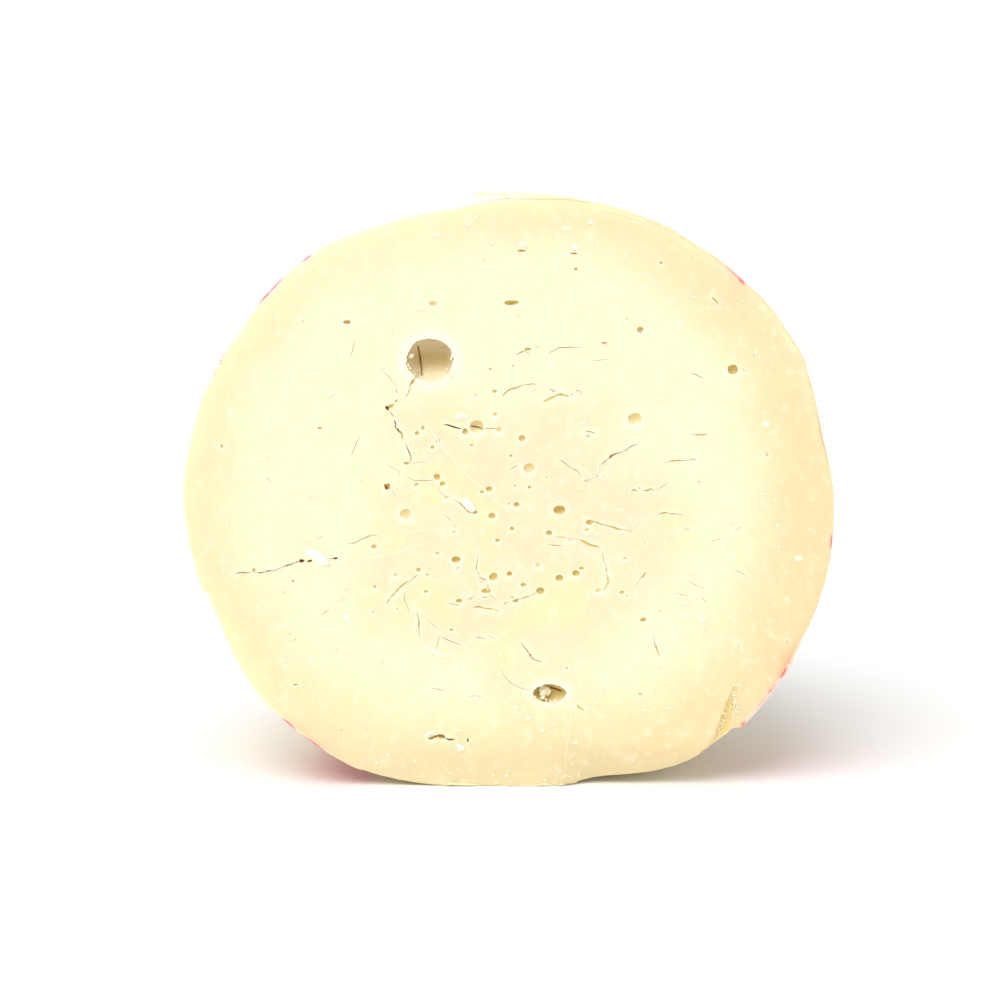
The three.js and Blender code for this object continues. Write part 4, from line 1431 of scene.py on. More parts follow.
@dataclass(frozen=True)
class PasteFinish:
    """Cut paste: pale cream, yellower to the rim, rosier within, with painted golden-brown shade in its
    hollows.
    """

    pale: Colour = (0.880, 0.792, 0.550)
    inner: Colour = (0.832, 0.690, 0.466)
    golden: Colour = (0.850, 0.746, 0.430)
    # Painted light: lit is laid on the thin upper left edge, where light would come through.
    rim: Colour = (0.775, 0.636, 0.360)
    lit: Colour = (0.895, 0.778, 0.470)
    # Painted shade at the foot of the cut.
    foot: Colour = (0.712, 0.618, 0.382)
    white: Colour = (0.930, 0.895, 0.745)
    # Painted shade in the hollows, golden brown; also the colour of fine specks.
    hollow: Colour = (0.735, 0.570, 0.190)
    # Painted shade on the upper walls of the two large eyes, and a darker painted shadow band deep in them.
    cave: Colour = (0.690, 0.575, 0.365)
    shadow_belt: Colour = (0.560, 0.415, 0.165)
    # Painted shade at the darkest spots and at the foot of the deeper cracks.
    deep: Colour = (0.330, 0.140, 0.004)
    red: Colour = (0.760, 0.150, 0.120)
    softness: float = 0.42
    reach: Triple = (1.6, 1.2, 0.8)
    roughness: float = 0.46
    gloss: float = 0.36

    def material(self) -> Material:
        """Zones from the body's own numbers, broken up by grain, over an oily cut surface.

        Returns:
            The material.
        """
        recipe = Recipe("cut_paste")
        cloudy = recipe.grain(9.0, 4.0)
        fine = recipe.grain(1.1)
        dragged = recipe.grain(2.6, 3.0, (1.0, 1.0, 0.22))
        patches = recipe.ranged(recipe.grain(17.0), 0.44, 0.56, 0.0, 1.0)
        inner = recipe.values("inner")
        within = recipe.product(inner, recipe.ranged(patches, 0.0, 1.0, 0.72, 1.0))
        colour = recipe.mixed(within, self.pale, self.inner)
        core = recipe.product(inner, recipe.ranged(recipe.grain(21.0, 2.0), 0.5, 0.66, 0.0, 0.8))
        colour = recipe.mixed(core, colour, self.golden)
        colour = recipe.veiled(colour, ((patches, 0.0, 1.0, 0.14, self.inner),))
        rosy = recipe.product(inner, recipe.ranged(recipe.grain(7.5), 0.47, 0.55, 0.0, 0.3))
        colour = recipe.mixed(rosy, colour, self.inner)
        colour = recipe.mixed(recipe.values("rim"), colour, self.rim)
        # Painted shade at the foot, where the cut leans back.
        colour = recipe.mixed(recipe.product(recipe.values("foot"), 0.6), colour, self.foot)
        # Painted light along the thin upper left edge.
        colour = recipe.mixed(recipe.values("glow"), colour, self.lit)
        colour = recipe.veiled(colour, (
            (cloudy, 0.38, 0.7, 0.2, self.golden),
            (recipe.grain(4.2, 2.0), 0.52, 0.72, 0.24, self.white),
            (recipe.grain(2.3, 2.0), 0.64, 0.76, 0.3, self.white),
            (dragged, 0.5, 0.8, 0.1, self.white),
            (fine, 0.6, 0.8, 0.16, self.white),
            (recipe.grain(0.9, 2.0), 0.70, 0.78, 0.25, self.hollow),
        ))
        # Painted highlight on the lips, in the white of the curd.
        broken = recipe.ranged(recipe.grain(0.8), 0.35, 0.6, 0.5, 1.0)
        colour = recipe.mixed(recipe.product(recipe.values("lip_highlight"), broken), colour, self.white)
        # Painted shade: golden brown deepening into the hollows.
        colour = recipe.veiled(colour, ((recipe.values("hollow"), 0.05, 0.8, 0.92, self.hollow),))
        # Painted shade: the upper walls of the large eyes, a shadow band deep in them, and the darkest spots
        # of the hollows.
        colour = recipe.covered(
            colour, {"cave": self.cave, "shadow_belt": self.shadow_belt, "recess_shade": self.deep, "stain": self.red}
        )
        rough = recipe.ranged(cloudy, 0.3, 0.7, self.roughness - 0.06, self.roughness + 0.08)
        recipe.paint(colour, rough)
        recipe.shader.inputs["Specular IOR Level"].default_value = self.gloss
        recipe.bumps([
            (recipe.grain(6.0), 0.16), (dragged, 0.07), (fine, 0.05), (recipe.grain(0.35, 2.0), 0.014),
        ])
        recipe.soft(self.softness, self.reach)
        return recipe.material


@dataclass(frozen=True)
class RindFinish:
    """Rind: waxy straw skin, mottled, darker in the rope dents, with worn red print, painted contact shade
    low at the front and painted light near the cut at the upper left.
    """

    straw: Colour = (0.820, 0.655, 0.310)
    bare: Colour = (0.860, 0.745, 0.430)
    amber: Colour = (0.690, 0.470, 0.160)
    # Darker rope dents, and the painted contact shade low at the front.
    groove: Colour = (0.600, 0.400, 0.150)
    skin: Colour = (0.880, 0.690, 0.640)
    stain: Colour = (0.820, 0.090, 0.150)
    # Painted light: lit brightens the rind just behind the cut at the upper left.
    lit: Colour = (0.910, 0.850, 0.610)
    red: Colour = (0.720, 0.055, 0.070)
    softness: float = 0.35
    reach: Triple = (1.6, 1.0, 0.5)

    def material(self) -> Material:
        """Mottled straw under a thin wax, with the print broken up where it has rubbed off.

        Returns:
            The material.
        """
        recipe = Recipe("straw_rind")
        blotch = recipe.grain(7.0, 4.0)
        fine = recipe.grain(1.3)
        clouds = recipe.ranged(recipe.grain(22.0, 4.0), 0.35, 0.65, 0.0, 1.0)
        colour = recipe.veiled(recipe.mixed(clouds, self.straw, self.bare), (
            (blotch, 0.5, 0.75, 0.55, self.amber),
            (fine, 0.5, 0.8, 0.25, self.amber),
            # The rope dents, and painted contact shade low at the front.
            (recipe.values("groove"), 0.25, 1.0, 0.6, self.groove),
        ))
        colour = recipe.covered(colour, {"glow": self.lit, "skin": self.skin})
        worn = recipe.ranged(recipe.grain(8.0), 0.30, 0.48, 0.3, 1.0)
        scratched = recipe.ranged(recipe.grain(1.1, 5.0, (0.5, 1.0, 1.0)), 0.34, 0.5, 0.35, 1.0)
        ink = recipe.product(recipe.values("ink"), recipe.product(worn, scratched))
        colour = recipe.covered(recipe.mixed(ink, colour, self.red), {"stain": self.stain})
        recipe.paint(colour, recipe.ranged(blotch, 0.3, 0.7, 0.34, 0.52))
        recipe.shader.inputs["Coat Weight"].default_value = 0.18
        recipe.shader.inputs["Coat Roughness"].default_value = 0.3
        recipe.bumps([(blotch, 0.26), (fine, 0.11), (recipe.grain(0.5, 2.0), 0.04)])
        recipe.soft(self.softness, self.reach)
        return recipe.material


@dataclass(frozen=True)
class ScrapFinish:
    """Torn scraps and crumbs: drier and whiter than the cut around them."""

    name: str
    white: Colour = (0.93, 0.89, 0.74)
    cream: Colour = (0.87, 0.80, 0.56)
    softness: float = 0.4
    spread: float = 1.0

    def material(self) -> Material:
        """White that turns to cream in patches, rough and finely grained.

        Returns:
            The material.
        """
        recipe = Recipe(self.name)
        fine = recipe.grain(0.5)
        patches = recipe.ranged(recipe.grain(2.0), 0.35, 0.7, 0.0, 1.0)
        colour = self.tinted(recipe, recipe.mixed(patches, self.white, self.cream))
        recipe.paint(colour, recipe.ranged(fine, 0.3, 0.7, 0.5, 0.68))
        recipe.bumps([(fine, 0.06), (recipe.grain(0.18, 2.0), 0.02)])
        recipe.soft(self.softness, (1.4 * self.spread, 1.0 * self.spread, 0.6 * self.spread))
        return recipe.material

    def tinted(self, recipe: Recipe, colour: Socket) -> Socket:
        """The colour as it is: a scrap has no further tint."""
        return colour


@dataclass(frozen=True)
class SliverFinish(ScrapFinish):
    """The shaving of rind: as the scraps, with painted golden shade where it joins the rim."""

    # Painted shade where the shaving joins the rim.
    golden: Colour = (0.865, 0.735, 0.420)

    def tinted(self, recipe: Recipe, colour: Socket) -> Socket:
        """The colour, turned golden as painted shade by how near each point is to where the shaving joins
        the rim.
        """
        return recipe.mixed(recipe.values("join_shade"), colour, self.golden)


@dataclass(frozen=True)
class PrintFinish:
    """Flecks of red print carried onto the cut."""

    red: Colour = (0.70, 0.07, 0.08)
    pink: Colour = (0.80, 0.28, 0.24)
    roughness: float = 0.5

    def material(self) -> Material:
        """Red that thins to pink in fine patches.

        Returns:
            The material.
        """
        recipe = Recipe("red_flecks")
        patches = recipe.grain(0.5)
        thin = recipe.ranged(patches, 0.4, 0.65, 0.0, 1.0)
        recipe.paint(recipe.mixed(thin, self.red, self.pink), self.roughness)
        recipe.bumps([(patches, 0.03)])
        return recipe.material


@dataclass(frozen=True)
class FloorFinish:
    """Plain pale floor under the cheese."""

    white: Colour = (0.90, 0.90, 0.905)
    whiter: Colour = (0.91, 0.91, 0.915)
    roughness: float = 0.7

    def material(self) -> Material:
        """Matt white with a barely seen unevenness.

        Returns:
            The material.
        """
        recipe = Recipe("pale_floor")
        broad = recipe.ranged(recipe.grain(400.0, 2.0), 0.3, 0.7, 0.0, 1.0)
        recipe.paint(recipe.mixed(broad, self.white, self.whiter), self.roughness)
        recipe.shader.inputs["Specular IOR Level"].default_value = 0.2
        return recipe.material


# ---- Sub-assemblies ----------------------------------------------------------------------


@dataclass(frozen=True)
class InkPatch:
    """A worn block of red print on the rind: its angles, and how far back it starts and ends."""

    middle: float
    half_angle: float
    start: float
    end: float
    strength: float = 1.0


@dataclass(frozen=True)
class EdgeMark:
    """A thin mark of red on the worn edge: its angles, and where across the edge it starts and ends.

    Across the edge, 0 is at the cut and 1 outside.
    """

    middle: float
    half_angle: float
    low: float
    high: float
    strength: float


@dataclass
class CheeseBody:
    """The half cheese: one closed skin of cut face, worn edge and rind, with its hollows cut out."""

    form: CheeseForm
    face: CutFace
    grid: int = 180
    rind_rows: int = 42
    rim_gaps: tuple[float, ...] = (3.0, 1.9, 1.1, 0.5)
    edge_turns: tuple[float, ...] = (0.0, 11.0, 28.0, 48.0, 69.0, 90.0)
    # How far back the relief of the cut's rim still shows in the rind.
    relief_fade: float = 9.0
    sharp_angle: float = 50.0
    patches: tuple[InkPatch, ...] = (
        InkPatch(129.5, 1.0, 1.0, 30.0, 0.6), InkPatch(138.2, 4.2, 1.0, 58.0, 0.8),
        InkPatch(152.4, 2.6, 1.4, 58.0, 0.7), InkPatch(45.6, 2.2, 1.0, 34.0, 0.8),
        InkPatch(58.0, 8.0, 16.0, 58.0), InkPatch(-7.0, 1.2, 0.8, 26.0, 0.7),
        InkPatch(-36.0, 9.0, 2.6, 40.0), InkPatch(-20.0, 7.0, 12.0, 56.0), InkPatch(236.5, 7.0, 3.0, 58.0),
        InkPatch(180.0, 9.0, 20.0, 64.0), InkPatch(100.0, 9.0, 26.0, 66.0),
    )
    marks: tuple[EdgeMark, ...] = (
        EdgeMark(129.5, 1.4, 0.3, 2.0, 0.85), EdgeMark(138.2, 4.6, 0.35, 2.0, 0.78),
        EdgeMark(139.6, 1.6, 0.3, 2.0, 0.95), EdgeMark(150.6, 0.5, 0.4, 2.0, 0.4),
        EdgeMark(154.1, 0.5, 0.4, 2.0, 0.5), EdgeMark(156.0, 0.5, 0.4, 2.0, 0.35),
        EdgeMark(46.0, 2.6, 0.25, 0.45, 0.65), EdgeMark(44.0, 0.9, 0.1, 0.4, 1.0),
        EdgeMark(225.3, 1.9, 0.2, 2.0, 0.95), EdgeMark(228.2, 1.3, 0.5, 2.0, 0.5),
        EdgeMark(230.9, 3.3, 0.25, 2.0, 0.9), EdgeMark(-6.9, 1.5, 0.15, 0.9, 0.85),
        EdgeMark(-32.4, 1.5, -1.0, 0.14, 1.0), EdgeMark(-35.1, 0.5, -1.0, 0.0, 0.8),
        EdgeMark(-36.2, 0.5, -1.0, 0.05, 0.85), EdgeMark(-38.8, 1.8, 0.05, 0.2, 0.35),
        EdgeMark(-43.9, 0.8, 0.0, 0.5, 0.8), EdgeMark(-29.8, 0.4, -1.0, 0.1, 0.5),
    )
    # Where the pinkish skin shows in front: middle angle, half width, share, how far back.
    pink_skin: tuple[tuple[float, float, float, float], ...] = (
        (-36.0, 11.0, 1.0, 12.0), (138.0, 5.0, 0.8, 3.0), (129.5, 1.4, 0.7, 3.0), (152.5, 3.0, 0.4, 3.0),
        (45.3, 3.0, 0.7, 3.0), (225.5, 2.4, 0.5, 3.0), (231.5, 2.8, 0.5, 3.0),
    )
    # Where the red of the print has run onto the cut: middle angle, half width, share.
    bleeds: tuple[Triple, ...] = ((-31.0, 4.5, 0.62), (229.0, 7.0, 0.42), (44.5, 3.4, 0.30))
    ink_noise: Layers = ((2.2, 5.0, 41), (0.9, 1.8, 42))

    def face_grid(self) -> tuple[Array, list, Array]:
        """Square rings pressed into round ones.

        A square of u and v becomes a disc: the larger of the two is the ring, and the other over it,
        times 45 degrees, is the turn from the middle of that side. Rings crowd a little towards the
        middle of the cut, where the eyes are.

        Returns:
            Places on the cut (x, z), the quads, and the numbers of the outer ring, anticlockwise from
            225 degrees.
        """
        side = np.linspace(-1.0, 1.0, self.grid + 1)
        u, v = np.meshgrid(side, side, indexing="ij")
        level = np.abs(u) >= np.abs(v)
        ring = np.maximum(np.abs(u), np.abs(v))
        big = np.where(level, u, v)
        small = np.where(level, v, u)
        turn = 45.0 * small / np.where(big == 0.0, 1.0, big)
        right_or_left = np.where(u >= 0.0, turn, 180.0 + turn)
        above_or_below = np.where(v >= 0.0, 90.0 - turn, 270.0 - turn)
        degrees = np.where(level, right_or_left, above_or_below)
        reach = ring * (0.8 + 0.2 * ring**2)
        margin = (self.rim_gaps[0] + self.form.edge(degrees)) / self.form.rim_radius(degrees)
        x, z = self.at(degrees, reach * (1.0 - margin))
        numbers = np.arange((self.grid + 1) ** 2).reshape(self.grid + 1, self.grid + 1)
        quads = np.stack([numbers[:-1, :-1], numbers[1:, :-1], numbers[1:, 1:], numbers[:-1, 1:]], axis=-1)
        outer = np.concatenate([numbers[:-1, 0], numbers[-1, :-1], numbers[:0:-1, -1], numbers[0, :0:-1]])
        return np.stack([x.ravel(), z.ravel()], axis=1), quads.reshape(-1, 4).tolist(), outer

    def at(self, degrees: Array, share: Array) -> tuple[Array, Array]:
        """Place on the cut at a share of the way from its middle to the rim.

        Args:
            degrees: Angle round the cheese.
            share: From 0 in the middle to 1 at the rim.

        Returns:
            The place across, and its height above the floor.
        """
        rim = self.form.skin(degrees, np.zeros_like(degrees))
        x = self.form.centre_x + (rim[..., 0] - self.form.centre_x) * share
        z = self.form.centre_z + (rim[..., 2] - self.form.centre_z) * share
        return x, z

    def rings(self, degrees: Array) -> list[Array]:
        """Rings from just inside the rim, round the worn edge and over the rind to the back.

        Args:
            degrees: Angles of the points of each ring.

        Returns:
            Points of each ring, from the cut backwards.
        """
        rim = self.form.skin(degrees, np.zeros_like(degrees))
        radius = np.hypot(rim[:, 0] - self.form.centre_x, rim[:, 2] - self.form.centre_z)
        edge = self.form.edge(degrees)
        rim_y = self.face.surface(rim[:, 0], rim[:, 2])[:, 1]
        rings = []
        for gap in self.rim_gaps[1:]:
            x, z = self.at(degrees, 1.0 - (edge + gap) / radius)
            rings.append(self.face.surface(x, z))
        for turn in np.radians(self.edge_turns):
            x, z = self.at(degrees, 1.0 - edge * (1.0 - np.sin(turn)) / radius)
            inner = self.face.surface(x, z)
            inner[:, 1] += edge * (1.0 - np.cos(turn))
            rings.append(inner)
        start = edge / self.form.depth
        for share in np.linspace(0.0, 1.0, self.rind_rows + 1)[1:-1]:
            along = share**1.5 * (1.0 - share) + (1.0 - (1.0 - share) ** 1.5) * share
            reach = start + (1.0 - start) * np.sin(along * np.pi / 2.0) ** (2.0 / self.form.fullness)
            ring = self.form.skin(degrees, reach)
            back = ring[:, 1] - self.form.face_y
            ring[:, 1] += (rim_y - self.form.face_y) * np.exp(-back / self.relief_fade)
            rings.append(ring)
        return rings

    def skin(self) -> tuple[Array, list, int]:
        """Points and faces of the closed skin, and how many faces come before the rind's.

        Returns:
            Points, faces, and that number.
        """
        places, quads, outer = self.face_grid()
        columns = len(outer)
        rings = self.rings(225.0 + 360.0 * np.arange(columns) / columns)
        pole = self.form.skin(np.array([0.0]), np.array([1.0]))
        points = [self.face.surface(*places.T), *rings, pole]
        base = len(places) + np.arange(len(rings))[:, None] * columns + np.arange(columns)
        numbers = np.concatenate([outer[None, :], base])
        ahead = np.roll(numbers, -1, axis=1)
        bands = np.stack([numbers[:-1], numbers[1:], ahead[1:], ahead[:-1]], axis=-1).reshape(-1, 4).tolist()
        last = sum(len(part) for part in points) - 1
        cap = [[int(a), last, int(b)] for a, b in zip(numbers[-1], ahead[-1])]
        paste_faces = len(quads) + columns * len(self.rim_gaps)
        return np.concatenate(points), quads + bands + cap, paste_faces

    def cut(self, piece: Piece) -> None:
        """Takes the hollows out with one boolean difference, and removes the cutters.

        Args:
            piece: The body, whole.
        """
        cutters = bpy.data.collections.new("hollows")
        bpy.context.scene.collection.children.link(cutters)
        for points, triangles in Hollows(self.face).forms():
            cutter = new_piece("hollow", points, triangles)
            bpy.context.scene.collection.objects.unlink(cutter)
            cutters.objects.link(cutter)
        difference = piece.modifiers.new("hollows", "BOOLEAN")
        difference.operation = "DIFFERENCE"
        difference.operand_type = "COLLECTION"
        difference.solver = "MANIFOLD"
        difference.collection = cutters
        graph = bpy.context.evaluated_depsgraph_get()
        mesh = bpy.data.meshes.new_from_object(piece.evaluated_get(graph))
        piece.modifiers.clear()
        piece.data = mesh
        for cutter in list(cutters.objects):
            bpy.data.objects.remove(cutter)
        bpy.data.collections.remove(cutters)

    def ink(self, points: Array) -> Array:
        """Share of red print: each patch is a block of angles and depths with broken edges.

        Args:
            points: Points of the body, (n, 3).

        Returns:
            The share at each point.
        """
        degrees, _ = self.form.polar(points[:, 0], points[:, 2])
        back = points[:, 1] - self.form.face_y
        ragged = layered(points, self.ink_noise)
        total = np.zeros(len(points))
        for patch in self.patches:
            off = np.abs(turned_apart(degrees, patch.middle)) + 0.5 * ragged
            block = smooth(off, patch.half_angle, patch.half_angle - 0.8)
            front_edge = smooth(back + 0.12 * ragged, patch.start, patch.start + 0.5)
            back_edge = smooth(back + 2.0 * ragged, patch.end, patch.end - 2.0)
            total = np.maximum(total, patch.strength * block * (front_edge * back_edge))
        return total

    def stain(self, points: Array, depth: Array) -> Array:
        """Share of red on the worn edge: thin marks whose ends fade.

        Args:
            points: Points of the body, (n, 3).
            depth: How far behind the cut each lies.

        Returns:
            The share at each point.
        """
        degrees, _ = self.form.polar(points[:, 0], points[:, 2])
        round_edge = np.arccos(np.clip(1.0 - depth / self.form.edge(degrees), 0.0, 1.0)) / (np.pi / 2.0)
        ragged = 0.35 * noise(points, 1.9, 43)
        total = np.zeros(len(points))
        for mark in self.marks:
            off = np.abs(turned_apart(degrees, mark.middle)) + ragged
            along = smooth(off, mark.half_angle, 0.3 * mark.half_angle)
            inner_end = smooth(round_edge, mark.low - 0.25, mark.low + 0.1)
            outer_end = smooth(round_edge, mark.high + 0.25, mark.high - 0.1)
            total = np.maximum(total, mark.strength * along * (inner_end * outer_end))
        return total * smooth(depth, 5.0, 2.0)

    def touched_by(self, piece: Piece, zone: Zone) -> Array:
        """Which points of the piece are a corner of a face with that finish.

        Args:
            piece: The body.
            zone: The finish.

        Returns:
            True or false for each point.
        """
        faces = piece.data.polygons
        finish, corners = np.empty(len(faces), np.int32), np.empty(len(faces), np.int32)
        faces.foreach_get("material_index", finish)
        faces.foreach_get("loop_total", corners)
        numbers = np.empty(len(piece.data.loops), np.int32)
        piece.data.loops.foreach_get("vertex_index", numbers)
        hit = np.zeros(len(piece.data.vertices), bool)
        hit[numbers[np.repeat(finish, corners) == zone.value]] = True
        return hit

    def tint(self, piece: Piece) -> None:
        """Stores the numbers that the finishes read: zones of tone, painted shade and light, hollows, lips,
        grooves and print.

        Args:
            piece: The body, with its hollows cut out.
        """
        points = points_of(piece)
        x, y, z = points.T
        inside = self.face.inside(x, z)
        degrees, _ = self.form.polar(x, z)
        back = y - self.form.face_y
        depth = back + self.face.height(x, z)
        facing = np.empty(3 * len(points), np.float32)
        piece.data.vertex_normals.foreach_get("vector", facing)
        upward = smooth(facing[2::3], 0.1, 0.95)
        on_cut = ~self.touched_by(piece, Zone.RIND)
        in_hollow = on_cut & (depth > 0.06) & (inside > 1.6)
        crease = bell(away_from_line(x, z, Hollows(self.face).groove_path), 3.4)
        tones = Tones(self.face, x, z)
        # Painted shade in the two large eyes: the upper walls take it, the lower walls, lit from above, do
        # not.
        cave, below = tones.cave()
        cave = cave * in_hollow
        lit_wall = smooth(below, -0.1, 0.8)
        near_crack, crack_shade = tones.crack_shade()
        # Painted shade in the hollows: more with depth and near cracks, less on walls that face up to the
        # light, in the crease, in shallow dents and in the large eyes.
        hollow = smooth(depth / (0.5 - 0.22 * near_crack), 0.0, 1.0)
        hollow = hollow * (1.0 - 0.52 * crease) * (1.0 - 0.4 * upward)
        hollow = hollow * (1.0 - 0.5 * tones.shallow()) * (1.0 - cave)
        # Painted light: the glow reaches back over the rind behind the rim, furthest at the top.
        front = bell(np.clip(back, 0.0, None) / (5.0 + 11.0 * about(degrees, 100.0, 28.0)), 1.0)
        near_edge = np.exp(-np.clip(inside - 0.4, 0.0, None) / 2.6)
        bleed = near_edge * sum(share * about(degrees, at, half) for at, half, share in self.bleeds)
        # Painted contact shade: a brownish line low on the rind just behind the cut, near the floor.
        contact_shade = 0.7 * about(degrees, 258.0, 18.0) * (back < 4.0)
        numbers = {
            "inner": np.where(on_cut, tones.inner(), 0.0),
            "rim": np.where(on_cut, tones.rim(), 1.0),
            # painted shade at the foot of the cut
            "foot": np.where(on_cut, tones.foot(), 0.0),
            "glow": tones.glow() * front,
            "hollow": np.where(in_hollow, hollow, 0.0),
            # painted shade on the upper walls of the large eyes, and a shadow band deep in them
            "cave": cave * smooth(depth, 0.1, 0.9) * (1.0 - lit_wall),
            "shadow_belt": cave * smooth(depth, 3.4, 6.6) * 0.85 * bell(below, 0.5),
            # painted shade at the darkest spots and the foot of the deeper cracks
            "recess_shade": np.where(in_hollow, np.maximum(
                tones.darkness() * smooth(depth, 0.25, 0.5), crack_shade * smooth(depth, 0.15, 0.45),
            ), 0.0),
            # painted highlight on the lips
            "lip_highlight": np.where(on_cut & (depth < 0.4), tones.lips(), 0.0),
            # rope dents, and painted contact shade low at the front
            "groove": np.where(on_cut, 0.0, np.maximum(self.form.rope(degrees), contact_shade)),
            "ink": np.where(on_cut, 0.0, self.ink(points)),
            "stain": np.where(on_cut, bleed, self.stain(points, depth)),
            "skin": sum(
                share * about(degrees, at, half) * smooth(back, 1.3 * reach, reach)
                for at, half, share, reach in self.pink_skin
            ),
        }
        for name, values in numbers.items():
            set_values(piece, name, values)

    def build(self) -> Piece:
        """Makes the body, cuts it, tints it and puts it in the CAD node's place.

        Returns:
            The piece, ready for the frame.
        """
        points, faces, paste_faces = self.skin()
        piece = new_piece("provolone_body", points, faces)
        zones = np.full(len(faces), Zone.RIND.value)
        zones[:paste_faces] = Zone.PASTE.value
        piece.data.materials.append(PasteFinish().material())
        piece.data.materials.append(RindFinish().material())
        piece.data.polygons.foreach_set("material_index", zones)
        self.cut(piece)
        piece.data.set_sharp_from_angle(angle=math.radians(self.sharp_angle))
        self.tint(piece)
        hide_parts(NODE)
        return settle_in(piece)


@dataclass
class RindSliver:
    """Shaving of rind along the top of the cut, torn at its left end and lifted off the rim."""

    face: CutFace
    # Its upper and lower edges: across, height.
    top: tuple[Place, ...] = (
        (-12.5, 205.0), (-8.0, 205.3), (0.0, 205.2), (9.0, 204.6), (16.0, 203.9), (22.0, 203.0),
        (26.5, 201.9),
    )
    foot: tuple[Place, ...] = (
        (-12.5, 203.3), (-8.0, 203.4), (-4.0, 203.8), (-1.6, 203.4), (0.5, 202.5), (9.0, 202.4),
        (19.0, 202.4), (23.0, 201.9), (26.5, 201.3),
    )
    reach: float = 2.8
    sections: int = 90
    torn_noise: Layers = ((0.03, 5.0, 71), (0.02, 1.6, 74))
    # Its section, from the lower front corner: how far back and how high, as shares of reach and thickness.
    section: tuple[Place, ...] = (
        (0.02, 0.0), (0.0, 0.04), (0.0, 0.5), (0.0, 0.88), (0.06, 1.0), (0.3, 0.96), (0.6, 0.78),
        (0.88, 0.5), (1.0, 0.3), (0.86, 0.2), (0.5, 0.1), (0.25, 0.02),
    )

    def build(self) -> Piece:
        """Its section carried along it: free at the left, flush with the cut and sinking in at the right.

        Returns:
            The piece, ready for the frame.
        """
        across, heights = np.array(self.top).T
        x = np.linspace(across[0], across[-1], self.sections)
        share = np.linspace(0.0, 1.0, self.sections)
        places = in_plane(x, np.zeros_like(x))
        foot = np.interp(x, *np.array(self.foot).T)
        torn = layered(places, self.torn_noise, 1.0)
        thick = (np.interp(x, across, heights) - foot) * torn * smooth(share, -0.02, 0.02)
        centre = self.face.surface(x, foot, 0.04 + 0.3 * smooth(x, 2.0, -8.0))
        back, level = np.array(self.section).T
        width = self.reach * (1.0 + 0.14 * noise(places, 4.0, 72)) * (0.3 + 0.7 * smooth(x, -6.0, 6.0))
        uneven = 0.1 * noise(np.repeat(places[:, None], len(back), 1), 5.0, 73)
        profile = np.stack([
            width[:, None] * back,
            thick[:, None] * level + uneven * back - 1.1 * smooth(x, -3.0, 8.0)[:, None] * back**1.6,
        ], axis=-1)
        piece = new_piece("rind_sliver", *swept(centre, INTO_CUT, UPWARD, profile))
        # Painted shade: golden along the foot, where the shaving meets the rim, more to the right.
        join_shade = smooth(x, 0.0, 12.0)[:, None] * (1.0 - 0.6 * smooth(profile[..., 1], 0.2, 1.0))
        set_values(piece, "join_shade", join_shade.ravel())
        finish = SliverFinish("sliver", (0.895, 0.84, 0.64), (0.875, 0.785, 0.55), 0.5, 1.6)
        return settle_in(piece, finish.material())


@dataclass
class Flakes:
    """Torn flakes or low lumps: thin uneven cushions with one side curled off the cut."""

    face: CutFace
    name: str
    rows: tuple[tuple[float, ...], ...]
    finish: ScrapFinish
    thickness: float = 0.26
    tear: float = 0.2
    lift: float = 0.7
    mesh: tuple[int, int] = (9, 46)
    seed: int = 5

    def flake(self, sizes: tuple[float, ...], seed: int) -> Form:
        """A ball squashed flat, its outline torn by noise, its upper side bent out by a parabola.

        Args:
            sizes: Across, above, half width, half height, tilt, and how far it curls.
            seed: Which noise tears it.

        Returns:
            Points and triangles.
        """
        x, z, half_width, half_height, tilt, curl = sizes
        points, triangles = ball(*self.mesh)
        ring = points * np.array([1.0, 0.0, 1.0])
        tears = noise(ring + 9.0 * seed, 0.7, seed) + 0.8 * noise(ring + 5.0 * seed, 0.3, seed + 1)
        torn = 1.0 + self.tear * (tears + 0.5 * noise(ring + 3.0 * seed, 0.13, seed + 3))
        u, v = points[:, 0] * torn, points[:, 2] * torn
        thick = self.thickness * points[:, 1] * (1.0 + 0.5 * noise(points + seed, 0.4, seed + 2))
        turn = math.radians(tilt)
        across = half_width * u * math.cos(turn) - half_height * v * math.sin(turn)
        above = half_width * u * math.sin(turn) + half_height * v * math.cos(turn)
        places = self.face.surface(x + across, z + above)
        bent = curl * np.clip(0.5 + 0.5 * v + 0.25 * u, 0.0, 1.6) ** 2 * self.lift
        bent = bent + 0.1 * noise(ring * 2.0 + seed, 0.5, seed)
        places[:, 1] += thick - bent
        return places, outward(places, triangles)

    def build(self) -> Piece:
        """All of them as one piece."""
        forms = [self.flake(sizes, self.seed + 7 * i) for i, sizes in enumerate(self.rows)]
        return settle_in(new_piece(self.name, *joined(forms)), self.finish.material())


